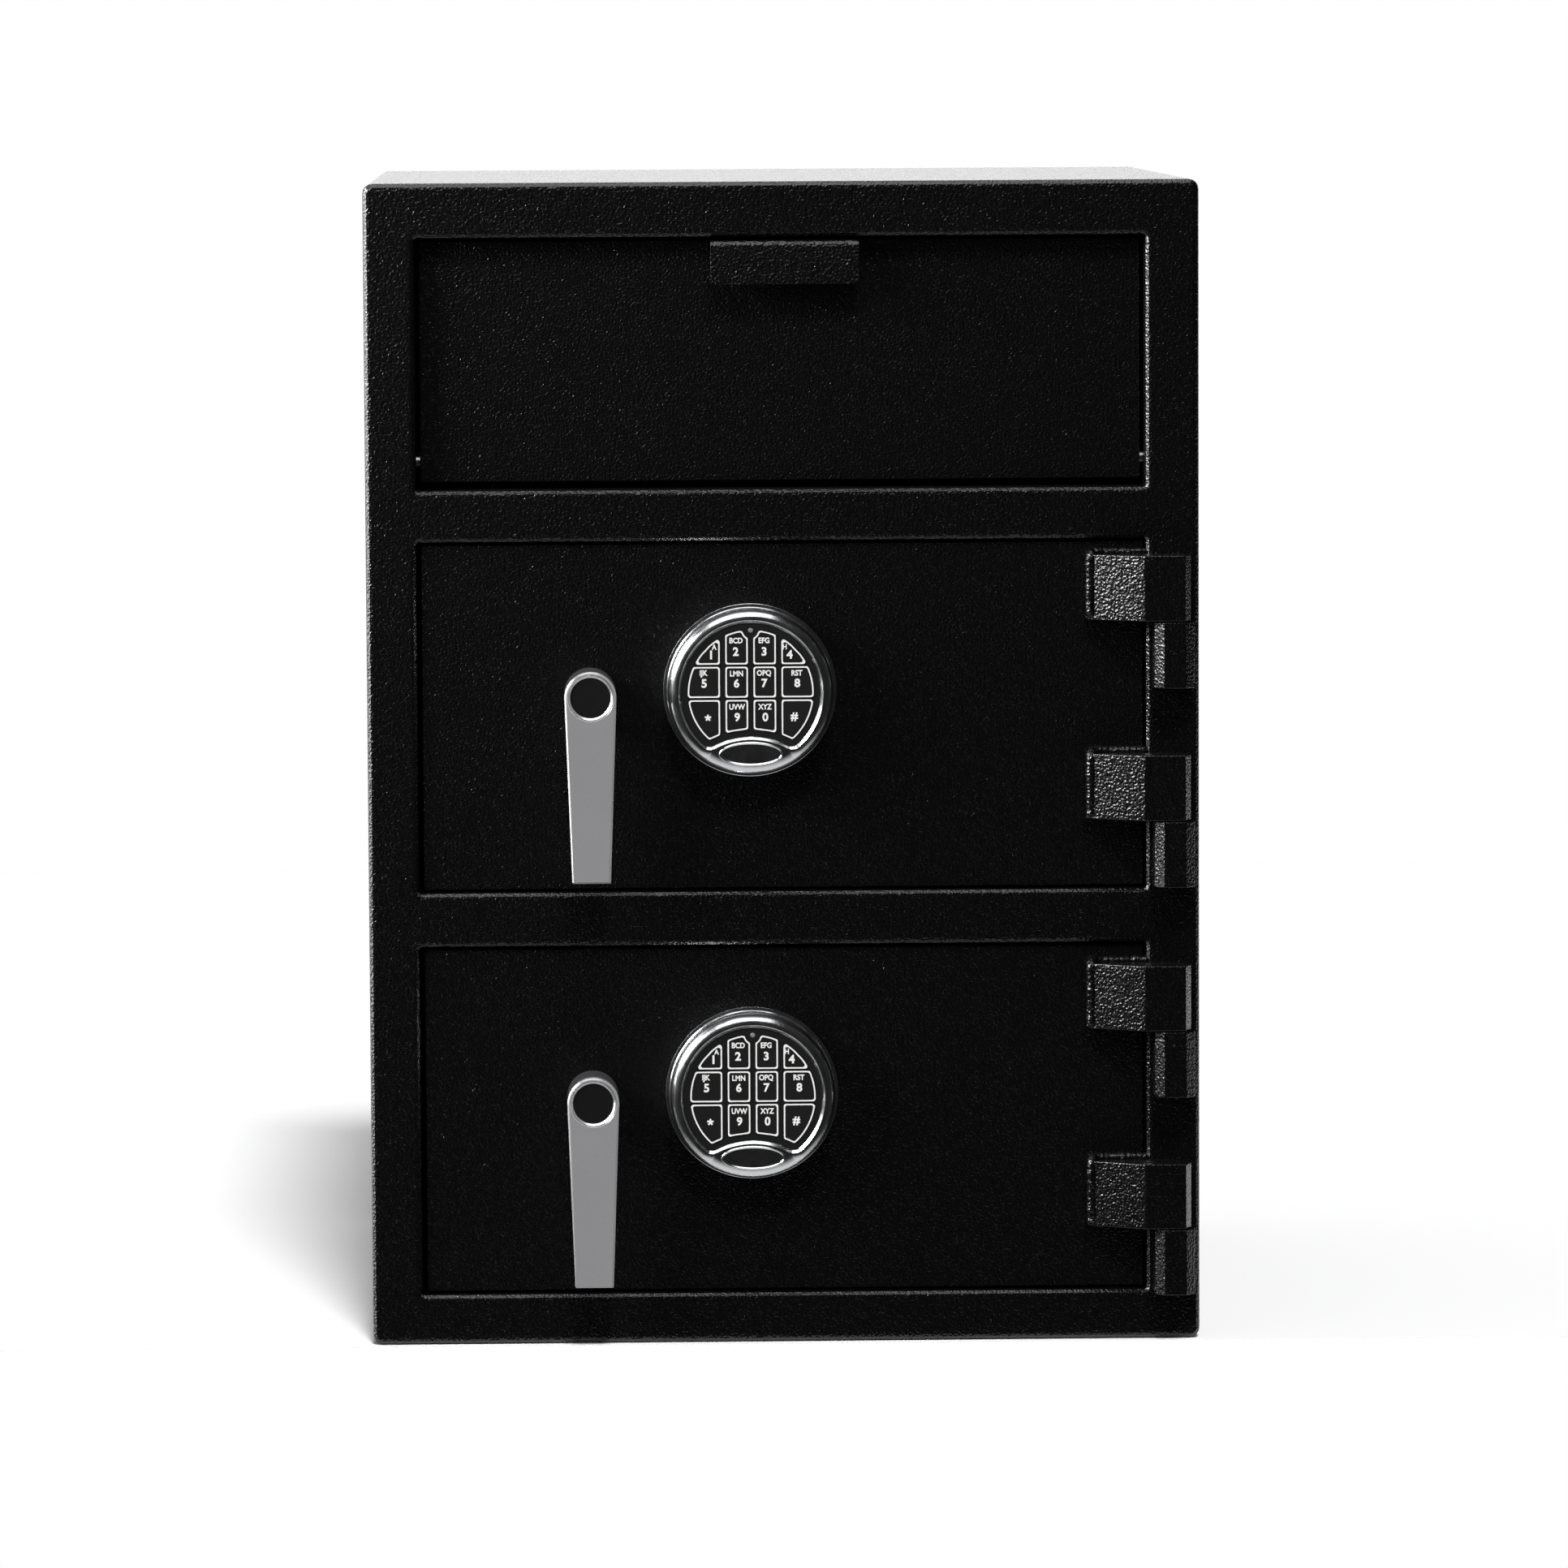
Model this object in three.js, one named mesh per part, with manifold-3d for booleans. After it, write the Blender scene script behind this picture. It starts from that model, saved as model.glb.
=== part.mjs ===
// Front-loading drop safe: a tilt-out deposit hopper over two locked compartments.
//
// Units are millimetres and +Z is up. The front faces -Y. The origin is the centre of the footprint, on
// the floor. Inside the safe's groups, y is the depth behind the front face, so pieces that stand proud of
// the face have negative y.

import * as THREE from 'three';
import { mergeVertices } from 'three/addons/utils/BufferGeometryUtils.js';
import Module from 'manifold-3d';

const wasm = await Module();
wasm.setup();

// Clearances
const SEAT_GAP = 0.3; // between a piece and what it is fastened to
const SLIDE_GAP = 0.4; // round a sliding or turning piece
const PASS_GAP = 1; // between moving pieces that only pass each other

// Cabinet. The openings and rails add up to the body's width and height.
const BODY_DEPTH = 508;
const WALL = 5;
const BODY_EDGE_RADIUS = 6;
const FRAME_THICKNESS = 6;
const FRAME_BEND_RADIUS = 4.5;
const LEFT_STILE = 31;
const RIGHT_STILE = 33;
const OPENING_WIDTH = 444;
const BOTTOM_RAIL = 31;
const MIDDLE_RAIL = 33.5;
const HOPPER_RAIL = 32;
const TOP_RAIL = 33.5;
const DOOR_OPENING_HEIGHT = 214;
const HOPPER_OPENING_HEIGHT = 153;
const OPENING_CORNER_RADIUS = 1.5;
const FLANGE_THICKNESS = 5;
const DOOR_FLANGE_DEPTH = 24;
const HOPPER_FLANGE_DEPTH = 34;
const SHELF_THICKNESS = 5;
const ANCHOR_HOLE_DIAMETER = 12;
const ANCHOR_SIDE_INSET = 74;
const ANCHOR_END_INSET = 84;

// Doors
const DOOR_RECESS = 5;
const DOOR_THICKNESS = 12.5;
const DOOR_EDGE_BEVEL = 0.8;
const DOOR_LEFT_GAP = 2.5;
const DOOR_RIGHT_GAP = 1.5;
const DOOR_END_GAP = 1.5;

// Hinges
const HINGE_AXIS_FROM_OPENING = 15;
const HINGE_AXIS_OUT = 12;
const KNUCKLE_HEIGHT = 40;
const KNUCKLE_GAP = 0.8;
const KNUCKLE_LEFT_REACH = 15.5;
const KNUCKLE_FRONT_REACH = 11.5;
const KNUCKLE_LEFT_CHAMFER = 8;
const KNUCKLE_RIGHT_CHAMFER = 6;
const HINGE_PIN_DIAMETER = 10;
const HINGE_PIN_LENGTH = 26;
const HINGE_BORE_EXTRA_DEPTH = 3;
const STRAP_REACH = 51.5;
const STRAP_END_HEIGHT = 12;
const STRAP_END_SLOPE = 5;
const STRAP_FLAT_REACH = 17;
const KNUCKLE_ROUND_FROM_DEGREES = -15;
const KNUCKLE_ROUND_TO_DEGREES = 82;
const HINGE_BOTTOM_MARGIN = 0.8;
const HINGE_TOP_MARGIN = 7.7;
const LOWER_DOOR_HINGE_DROP = 3;

// Boltwork. Insets are from the door's left edge, and end insets are from its top and bottom edges.
const BOLT_STROKE = 20;
const BOLT_DIAMETER = 18;
const BOLT_TIP_INSET = 5.5;
const BOLT_END_INSET = 40;
const BOLT_FLANGE_GAP = 2;
const GUIDE_BAR_INSET = 14.5;
const GUIDE_BAR_WIDTH = 14;
const GUIDE_BAR_DEPTH = 32;
const GUIDE_BAR_END_MARGIN = 20;
const CARRIAGE_THICKNESS = 6;
const CARRIAGE_BAR_WIDTH = 18;
const CARRIAGE_BAR_END_MARGIN = 10;
const CARRIAGE_STOP_GAP = 4;
const CARRIAGE_TAIL_HEIGHT = 24;
const DEAD_BAR_WIDTH = 12;
const DEAD_BAR_INSET = 11.5;
const DEAD_BAR_REACH = 23;
const DEAD_BAR_FLANGE_GAP = 3;
const DEAD_BAR_THICKNESS = 10;
const DEAD_BAR_END_MARGIN = 18;

// Handle
const HANDLE_INSET = 102.5;
const HANDLE_DROP = 91;
const HANDLE_TURN_DEGREES = 90;
const LEVER_STANDOFF = 38;
const LEVER_THICKNESS = 8;
const LEVER_HEAD_DIAMETER = 31.5;
const LEVER_LENGTH = 113;
const LEVER_END_WIDTH = 23.4;
const LEVER_EDGE_BEVEL = 0.7;
const LEVER_RING_BORE = 24.7;
const HUB_END_RECESS = 1.3;
const SPINDLE_DIAMETER = 12;
const SPINDLE_SOCKET_DEPTH = 22;
const CAM_THICKNESS = 6;
const CAM_PIN_DIAMETER = 8;
const CAM_START_RADIUS = 13;
const CAM_RIM = 2.6;
const CAM_SLOT_OVERRUN_DEGREES = 3;
const CAM_SLOT_STEPS = 12;

// Lock
const LOCK_FROM_CAM = 6;
const LOCK_WIDTH = 82;
const LOCK_HEIGHT = 48;
const LOCK_DEPTH = 26;
const LOCK_ABOVE_TAIL = 8;
const LOCK_BOLT_INSET = 22;
const LOCK_BOLT_WIDTH = 10;
const LOCK_BOLT_LENGTH = 28;
const LOCK_BOLT_THICKNESS = 10;
const LOCK_BOLT_SHOWING = 6;
const LOCK_BOLT_TRAVEL = 10;

// Inner cover
const PAN_SHEET = 2;
const PAN_RIGHT_INSET = 29.5;
const PAN_BOTTOM_MARGIN = 14;
const PAN_LOCK_GAP = 7;
const PAN_DEPTH = 40;

// Keypad. Heights "out" are measured from the door's face towards the front.
const KEYPAD_INSET = 200;
const KEYPAD_DROP = 89.5;
const KEYPAD_RADIUS = 51;
const KEYPAD_OUT = 24.5;
const KEYPAD_SIDE_OUT = 13;
const KEYPAD_CREST_INSET = 5.2;
const KEYPAD_CREST_DROP = 1;
const KEYPAD_FIELD_RADIUS = 43.9;
const KEYPAD_FACE_OUT = 22.5;
const KEYPAD_FACE_THICKNESS = 3.2;
const KEYPAD_FLOOR = 3;
const KEYPAD_SHELL = 6;
const KEYPAD_ARCH_RADIUS = 39.5;
const KEYPAD_ARCH_TOP = -30;
const BADGE_HEIGHT = -39.8;
const BADGE_HALF_WIDTH = 18.6;
const BADGE_HALF_HEIGHT = 6.8;
const BADGE_RAISE = 1;
const LAMP_HEIGHT = 36.9;
const LAMP_RADIUS = 1.5;
const LAMP_RAISE = 0.5;
const CABLE_HOLE_DIAMETER = 8;

// Keys
const KEY_DISC_RADIUS = 38;
const KEY_WIDTH = 13.3;
const KEY_COLUMN_GAP = 3.6;
const KEY_ROW_HEIGHT = 18.3;
const KEY_ROW_GAP = 2.1;
const KEY_MIDDLE_ROW_BOTTOM = -4.2;
const KEY_ARCH_GAP = 6.5;
const KEY_LAMP_GAP = 3.5;
const KEY_PROUD = 0.7;
const KEY_TRAVEL = 0.8;
const KEY_PRESS_CLEARANCE = 0.2;

// Hopper
const PANEL_RECESS = 14;
const PANEL_THICKNESS = 6;
const PANEL_SIDE_GAP = 2.5;
const PANEL_BOTTOM_GAP = 4.5;
const PANEL_TOP_GAP = 2;
const PIVOT_ABOVE_PANEL_BOTTOM = 12;
const PIVOT_STUD_DIAMETER = 8;
const PIVOT_BEHIND_PANEL = 0.5;
const TRAY_SHEET = 3;
const TRAY_LENGTH = 180;
const TRAY_SLOPE_DEGREES = 45;
const TRAY_SIDE_INSET = 6;
const TRAY_LAP = 2;
const BACKING_TOP_MARGIN = 7.5;
const CHEEK_RADIUS = 126;
const HOOD_GAP = 3;
const HOOD_SHEET = 3;
const HOOD_SIDE_GAP = 1.5;
const HOOD_BELOW_PIVOT = 12;
const HOOD_TEETH = 20;
const HOOD_TOOTH_DEPTH = 9;
const PULL_WIDTH = 90;
const PULL_HEIGHT = 26.5;
const PULL_OUT = 18;
const PULL_SHEET = 3;
const PULL_BEND_RADIUS = 4;
const PULL_CORNER_RADIUS = 4;
const PULL_CENTRE_X = 2;

// Rounding
const ROUND_SIDES = 32;
const SMALL_ROUND_SIDES = 16;
const CORNER_STEPS = 2;
const BEND_STEPS = 3;
const ARC_STEPS = 14;
const SMALL_BEVEL = 1;
const OVERCUT = 1; // how far a cutting shape runs past what it cuts
const MERGE_DISTANCE = 1e-4;

// Derived places. Heights on a door are above its bottom edge.
const BODY_WIDTH = LEFT_STILE + OPENING_WIDTH + RIGHT_STILE;
const LOWER_OPENING_BOTTOM = BOTTOM_RAIL;
const UPPER_OPENING_BOTTOM = LOWER_OPENING_BOTTOM + DOOR_OPENING_HEIGHT + MIDDLE_RAIL;
const HOPPER_OPENING_BOTTOM = UPPER_OPENING_BOTTOM + DOOR_OPENING_HEIGHT + HOPPER_RAIL;
const BODY_HEIGHT = HOPPER_OPENING_BOTTOM + HOPPER_OPENING_HEIGHT + TOP_RAIL;
const OPENING_LEFT = -BODY_WIDTH / 2 + LEFT_STILE;
const OPENING_RIGHT = OPENING_LEFT + OPENING_WIDTH;
const DOOR_LEFT = OPENING_LEFT + DOOR_LEFT_GAP;
const DOOR_RIGHT = OPENING_RIGHT - DOOR_RIGHT_GAP;
const DOOR_HEIGHT = DOOR_OPENING_HEIGHT - 2 * DOOR_END_GAP;
const DOOR_BACK = DOOR_RECESS + DOOR_THICKNESS;
const HINGE_X = OPENING_RIGHT + HINGE_AXIS_FROM_OPENING;
const HINGE_Y = -HINGE_AXIS_OUT;
const HINGE_HEIGHT = 2 * KNUCKLE_HEIGHT + KNUCKLE_GAP;
const HINGE_BOTTOMS = [HINGE_BOTTOM_MARGIN, DOOR_HEIGHT - HINGE_TOP_MARGIN - HINGE_HEIGHT];
const BOLT_HEIGHTS = [BOLT_END_INSET, DOOR_HEIGHT / 2, DOOR_HEIGHT - BOLT_END_INSET];
const HANDLE_X = DOOR_LEFT + HANDLE_INSET;
const HANDLE_HEIGHT = DOOR_HEIGHT - HANDLE_DROP;
const CAM_RADIUS = CAM_START_RADIUS + BOLT_STROKE + CAM_PIN_DIAMETER / 2 + SLIDE_GAP + CAM_RIM;
const CAM_FRONT = DOOR_BACK + PASS_GAP;
const BOLT_Y = DOOR_FLANGE_DEPTH + BOLT_FLANGE_GAP + BOLT_DIAMETER / 2;
const CARRIAGE_FRONT = BOLT_Y - CARRIAGE_THICKNESS / 2;
const GUIDE_LEFT = DOOR_LEFT + GUIDE_BAR_INSET;
const GUIDE_RIGHT = GUIDE_LEFT + GUIDE_BAR_WIDTH;
const CARRIAGE_LEFT = GUIDE_RIGHT + CARRIAGE_STOP_GAP + BOLT_STROKE;
const TAIL_BOTTOM = HANDLE_HEIGHT - CARRIAGE_TAIL_HEIGHT / 2;
const TAIL_TOP = HANDLE_HEIGHT + CARRIAGE_TAIL_HEIGHT / 2;
const LOCK_LEFT = HANDLE_X + CAM_RADIUS + LOCK_FROM_CAM;
const LOCK_BOTTOM = TAIL_TOP + LOCK_ABOVE_TAIL;
const LOCK_TOP = LOCK_BOTTOM + LOCK_HEIGHT;
const LOCK_BOLT_LEFT = LOCK_LEFT + LOCK_BOLT_INSET;
const LOCK_BOLT_RIGHT = LOCK_BOLT_LEFT + LOCK_BOLT_WIDTH;
const TAIL_TOOTH_WIDTH = BOLT_STROKE - LOCK_BOLT_WIDTH - 2 * PASS_GAP;
const TAIL_RIGHT = LOCK_BOLT_RIGHT + PASS_GAP + TAIL_TOOTH_WIDTH;
const KEYPAD_X = DOOR_LEFT + KEYPAD_INSET;
const KEYPAD_HEIGHT = DOOR_HEIGHT - KEYPAD_DROP;
const KEYPAD_ARCH_CENTRE = KEYPAD_ARCH_TOP - KEYPAD_ARCH_RADIUS;
const PANEL_LEFT = OPENING_LEFT + PANEL_SIDE_GAP;
const PANEL_RIGHT = OPENING_RIGHT - PANEL_SIDE_GAP;
const PANEL_BOTTOM = HOPPER_OPENING_BOTTOM + PANEL_BOTTOM_GAP;
const PANEL_TOP = HOPPER_OPENING_BOTTOM + HOPPER_OPENING_HEIGHT - PANEL_TOP_GAP;
const PANEL_BACK = PANEL_RECESS + PANEL_THICKNESS;
const PIVOT_Y = PANEL_BACK + PIVOT_STUD_DIAMETER / 2 + PIVOT_BEHIND_PANEL;
const PIVOT_Z = PANEL_BOTTOM + PIVOT_ABOVE_PANEL_BOTTOM;
const TRAY_LEFT = OPENING_LEFT + TRAY_SIDE_INSET;
const TRAY_RIGHT = OPENING_RIGHT - TRAY_SIDE_INSET;

// Materials
function finish(color, roughness, metalness) {
  return new THREE.MeshStandardMaterial({ color, roughness, metalness });
}

const texturedBlack = finish('#17181a', 0.55, 0);
const satinZinc = finish('#b4b5b8', 0.35, 0.9);
const blackPlastic = finish('#101113', 0.4, 0);
const chrome = finish('#d9dbde', 0.12, 1);
const keypadBlack = finish('#151618', 0.3, 0);
const platedSteel = finish('#9a9da1', 0.4, 0.9);
const lockGrey = finish('#7d8084', 0.45, 0.8);

// Solids: every three.js geometry becomes a manifold solid, so that pieces can be cut and joined.
function solid(geometry) {
  geometry.deleteAttribute('normal');
  geometry.deleteAttribute('uv');
  const merged = mergeVertices(geometry, MERGE_DISTANCE);
  const index = merged.getIndex().array;
  const triangles = [];
  for (let i = 0; i < index.length; i += 3) {
    const [a, b, c] = index.slice(i, i + 3);
    if (a !== b && b !== c && c !== a) triangles.push(a, b, c);
  }
  return new wasm.Manifold(new wasm.Mesh({
    numProp: 3,
    vertProperties: Float32Array.from(merged.getAttribute('position').array),
    triVerts: Uint32Array.from(triangles),
  }));
}

function join(first, ...others) {
  return others.reduce((body, other) => body.add(other), first);
}

function cut(body, ...tools) {
  return tools.reduce((rest, tool) => rest.subtract(tool), body);
}

function piece(name, body, material) {
  const { vertProperties, triVerts, numProp } = body.getMesh();
  const positions = new Float32Array(triVerts.length * 3);
  triVerts.forEach((vertex, corner) => {
    for (let axis = 0; axis < 3; axis += 1) {
      positions[3 * corner + axis] = vertProperties[numProp * vertex + axis];
    }
  });
  const geometry = new THREE.BufferGeometry();
  geometry.setAttribute('position', new THREE.BufferAttribute(positions, 3));
  geometry.computeVertexNormals();
  const mesh = new THREE.Mesh(geometry, material);
  mesh.name = name;
  return mesh;
}

function box([x0, x1], [y0, y1], [z0, z1]) {
  const geometry = new THREE.BoxGeometry(x1 - x0, y1 - y0, z1 - z0);
  return solid(geometry.translate((x0 + x1) / 2, (y0 + y1) / 2, (z0 + z1) / 2));
}

function rodX([x0, x1], [y, z], radius, sides = SMALL_ROUND_SIDES) {
  const geometry = new THREE.CylinderGeometry(radius, radius, x1 - x0, sides);
  return solid(geometry.rotateZ(Math.PI / 2).translate((x0 + x1) / 2, y, z));
}

function rodY([y0, y1], [x, z], radius, sides = SMALL_ROUND_SIDES) {
  const geometry = new THREE.CylinderGeometry(radius, radius, y1 - y0, sides);
  return solid(geometry.translate(x, (y0 + y1) / 2, z));
}

function rodZ([z0, z1], [x, y], radius, sides = SMALL_ROUND_SIDES) {
  const geometry = new THREE.CylinderGeometry(radius, radius, z1 - z0, sides);
  return solid(geometry.rotateX(Math.PI / 2).translate(x, y, (z0 + z1) / 2));
}

// An outline drawn in (x, z), (y, z) or (x, y), pushed along the third axis.
const X_AXIS = new THREE.Vector3(1, 0, 0);
const Y_AXIS = new THREE.Vector3(0, 1, 0);
const Z_AXIS = new THREE.Vector3(0, 0, 1);

function extruded(shape, length, basis, bevel) {
  const geometry = new THREE.ExtrudeGeometry(shape, {
    depth: length - 2 * bevel,
    bevelEnabled: bevel > 0,
    bevelThickness: bevel,
    bevelSize: bevel,
    bevelOffset: -bevel,
    bevelSegments: bevel > SMALL_BEVEL ? BEND_STEPS : 1,
    curveSegments: CORNER_STEPS,
  });
  return geometry.translate(0, 0, bevel).applyMatrix4(basis);
}

function prismX(shape, [x0, x1], bevel = 0) {
  const basis = new THREE.Matrix4().makeBasis(Y_AXIS, Z_AXIS, X_AXIS);
  return solid(extruded(shape, x1 - x0, basis, bevel).translate(x0, 0, 0));
}

function prismY(shape, [y0, y1], bevel = 0) {
  const basis = new THREE.Matrix4().makeBasis(X_AXIS, Z_AXIS, Y_AXIS.clone().negate());
  return solid(extruded(shape, y1 - y0, basis, bevel).translate(0, y1, 0));
}

function prismZ(shape, [z0, z1], bevel = 0) {
  return solid(extruded(shape, z1 - z0, new THREE.Matrix4(), bevel).translate(0, 0, z0));
}

function outline(points) {
  return new THREE.Shape(points.map(([a, b]) => new THREE.Vector2(a, b)));
}

function roundedRectangle([a0, a1], [b0, b1], radius) {
  const shape = new THREE.Shape();
  shape.absarc(a1 - radius, b0 + radius, radius, -Math.PI / 2, 0);
  shape.absarc(a1 - radius, b1 - radius, radius, 0, Math.PI / 2);
  shape.absarc(a0 + radius, b1 - radius, radius, Math.PI / 2, Math.PI);
  shape.absarc(a0 + radius, b0 + radius, radius, Math.PI, 1.5 * Math.PI);
  return shape;
}

function arcPoints([a, b], radius, fromDegrees, toDegrees, steps = ARC_STEPS) {
  const points = [];
  for (let step = 0; step <= steps; step += 1) {
    const angle = THREE.MathUtils.degToRad(fromDegrees + ((toDegrees - fromDegrees) * step) / steps);
    points.push([a + radius * Math.cos(angle), b + radius * Math.sin(angle)]);
  }
  return points;
}

// A round body about an axis along y. Its outline runs from the back to the front as [radius, y] pairs and
// starts and ends on the axis.
function turnedY(profile, [x, z], sides = ROUND_SIDES) {
  const points = profile.map(([radius, y]) => new THREE.Vector2(radius, y)).reverse();
  return solid(new THREE.LatheGeometry(points, sides).translate(x, 0, z));
}

// Cabinet
const OPENINGS = [
  { bottom: LOWER_OPENING_BOTTOM, height: DOOR_OPENING_HEIGHT, flangeDepth: DOOR_FLANGE_DEPTH },
  { bottom: UPPER_OPENING_BOTTOM, height: DOOR_OPENING_HEIGHT, flangeDepth: DOOR_FLANGE_DEPTH },
  { bottom: HOPPER_OPENING_BOTTOM, height: HOPPER_OPENING_HEIGHT, flangeDepth: HOPPER_FLANGE_DEPTH },
];

function bodyOutline() {
  return roundedRectangle([-BODY_WIDTH / 2, BODY_WIDTH / 2], [0, BODY_HEIGHT], BODY_EDGE_RADIUS);
}

function openingOutline({ bottom, height }, margin = 0) {
  const radius = OPENING_CORNER_RADIUS + margin;
  const across = [OPENING_LEFT - margin, OPENING_RIGHT + margin];
  return roundedRectangle(across, [bottom - margin, bottom + height + margin], radius);
}

function bodyShell() {
  const outside = prismY(bodyOutline(), [FRAME_THICKNESS, BODY_DEPTH]);
  const across = [-BODY_WIDTH / 2 + WALL, BODY_WIDTH / 2 - WALL];
  const inside = box(across, [0, BODY_DEPTH - WALL], [WALL, BODY_HEIGHT - WALL]);
  const holes = [-1, 1].flatMap((side) => [ANCHOR_END_INSET, BODY_DEPTH - ANCHOR_END_INSET].map((y) => {
    const x = side * (BODY_WIDTH / 2 - ANCHOR_SIDE_INSET);
    return rodZ([-WALL, 2 * WALL], [x, y], ANCHOR_HOLE_DIAMETER / 2);
  }));
  return cut(outside, inside, ...holes);
}

function frontFrame() {
  const face = bodyOutline();
  face.holes = OPENINGS.map((opening) => openingOutline(opening));
  const blank = prismY(face, [0, FRAME_THICKNESS + 2 * FRAME_BEND_RADIUS], FRAME_BEND_RADIUS);
  const everything = [-BODY_WIDTH, BODY_WIDTH];
  const behind = box(everything, [FRAME_THICKNESS, BODY_DEPTH], [-WALL, BODY_HEIGHT + WALL]);
  const flanges = OPENINGS.map((opening) => {
    const ring = openingOutline(opening, FLANGE_THICKNESS);
    ring.holes = [openingOutline(opening)];
    return prismY(ring, [FRAME_BEND_RADIUS, opening.flangeDepth]);
  });
  const studHole = PIVOT_STUD_DIAMETER / 2 + SLIDE_GAP;
  return cut(join(cut(blank, behind), ...flanges), rodX(everything, [PIVOT_Y, PIVOT_Z], studHole));
}

function dividerShelf() {
  const middle = UPPER_OPENING_BOTTOM - MIDDLE_RAIL / 2;
  const halfWidth = BODY_WIDTH / 2 - WALL - SEAT_GAP;
  return box(
    [-halfWidth, halfWidth],
    [FRAME_THICKNESS + SEAT_GAP, BODY_DEPTH - WALL - SEAT_GAP],
    [middle - SHELF_THICKNESS / 2, middle + SHELF_THICKNESS / 2],
  );
}

// Hopper. The tray slopes down and back from the pivot at rest and comes level as the panel tilts out.
function alongTray(along, above) {
  const slope = THREE.MathUtils.degToRad(TRAY_SLOPE_DEGREES);
  return [
    PIVOT_Y + along * Math.cos(slope) + above * Math.sin(slope),
    PIVOT_Z - along * Math.sin(slope) + above * Math.cos(slope),
  ];
}

function hopperPanel() {
  const across = [PANEL_LEFT, PANEL_RIGHT];
  const face = roundedRectangle(across, [PANEL_BOTTOM, PANEL_TOP], OPENING_CORNER_RADIUS);
  return prismY(face, [PANEL_RECESS, PANEL_BACK], DOOR_EDGE_BEVEL);
}

function hopperPull() {
  const front = PANEL_RECESS - PULL_OUT;
  const back = PANEL_RECESS - SEAT_GAP;
  const centre = [front + PULL_BEND_RADIUS, PANEL_TOP - PULL_BEND_RADIUS];
  const section = outline([
    [back, PANEL_TOP],
    ...arcPoints(centre, PULL_BEND_RADIUS, 90, 180, BEND_STEPS),
    [front, PANEL_TOP - PULL_HEIGHT],
    [front + PULL_SHEET, PANEL_TOP - PULL_HEIGHT],
    ...arcPoints(centre, PULL_BEND_RADIUS - PULL_SHEET, 180, 90, BEND_STEPS),
    [back, PANEL_TOP - PULL_SHEET],
  ]);
  const across = [PULL_CENTRE_X - PULL_WIDTH / 2, PULL_CENTRE_X + PULL_WIDTH / 2];
  const height = [PANEL_TOP - PULL_HEIGHT, PANEL_TOP + PULL_HEIGHT];
  const plan = roundedRectangle(across, height, PULL_CORNER_RADIUS);
  return prismX(section, across).intersect(prismY(plan, [front - OVERCUT, back + OVERCUT]));
}

function hopperTray() {
  const backing = [PANEL_BACK + SEAT_GAP, PANEL_BACK + SEAT_GAP + TRAY_SHEET];
  const backingTop = PANEL_TOP - BACKING_TOP_MARGIN;
  const across = [TRAY_LEFT, TRAY_RIGHT];
  const backingPlate = box(across, backing, [PIVOT_Z - 2 * TRAY_SHEET, backingTop]);
  const floor = outline([
    alongTray(-TRAY_LAP, 0), alongTray(-TRAY_LAP, -TRAY_SHEET),
    alongTray(TRAY_LENGTH, -TRAY_SHEET), alongTray(TRAY_LENGTH, 0),
  ]);
  const cheek = outline([
    alongTray(-TRAY_LAP, -TRAY_SHEET), alongTray(CHEEK_RADIUS, -TRAY_SHEET),
    ...arcPoints([PIVOT_Y, PIVOT_Z], CHEEK_RADIUS, -TRAY_SLOPE_DEGREES, 90),
    [backing[0], PIVOT_Z + CHEEK_RADIUS],
  ]);
  const parts = [prismX(floor, across)];
  for (const [inner, outer, jamb] of [
    [TRAY_LEFT + TRAY_SHEET, TRAY_LEFT, OPENING_LEFT],
    [TRAY_RIGHT - TRAY_SHEET, TRAY_RIGHT, OPENING_RIGHT],
  ]) {
    const side = Math.sign(outer - inner);
    const from = (a, b) => [Math.min(a, b), Math.max(a, b)];
    const studEnd = jamb + side * FLANGE_THICKNESS;
    parts.push(prismX(cheek, from(inner, outer)));
    parts.push(rodX(from(inner, studEnd), [PIVOT_Y, PIVOT_Z], PIVOT_STUD_DIAMETER / 2));
  }
  return join(backingPlate, ...parts);
}

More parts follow.
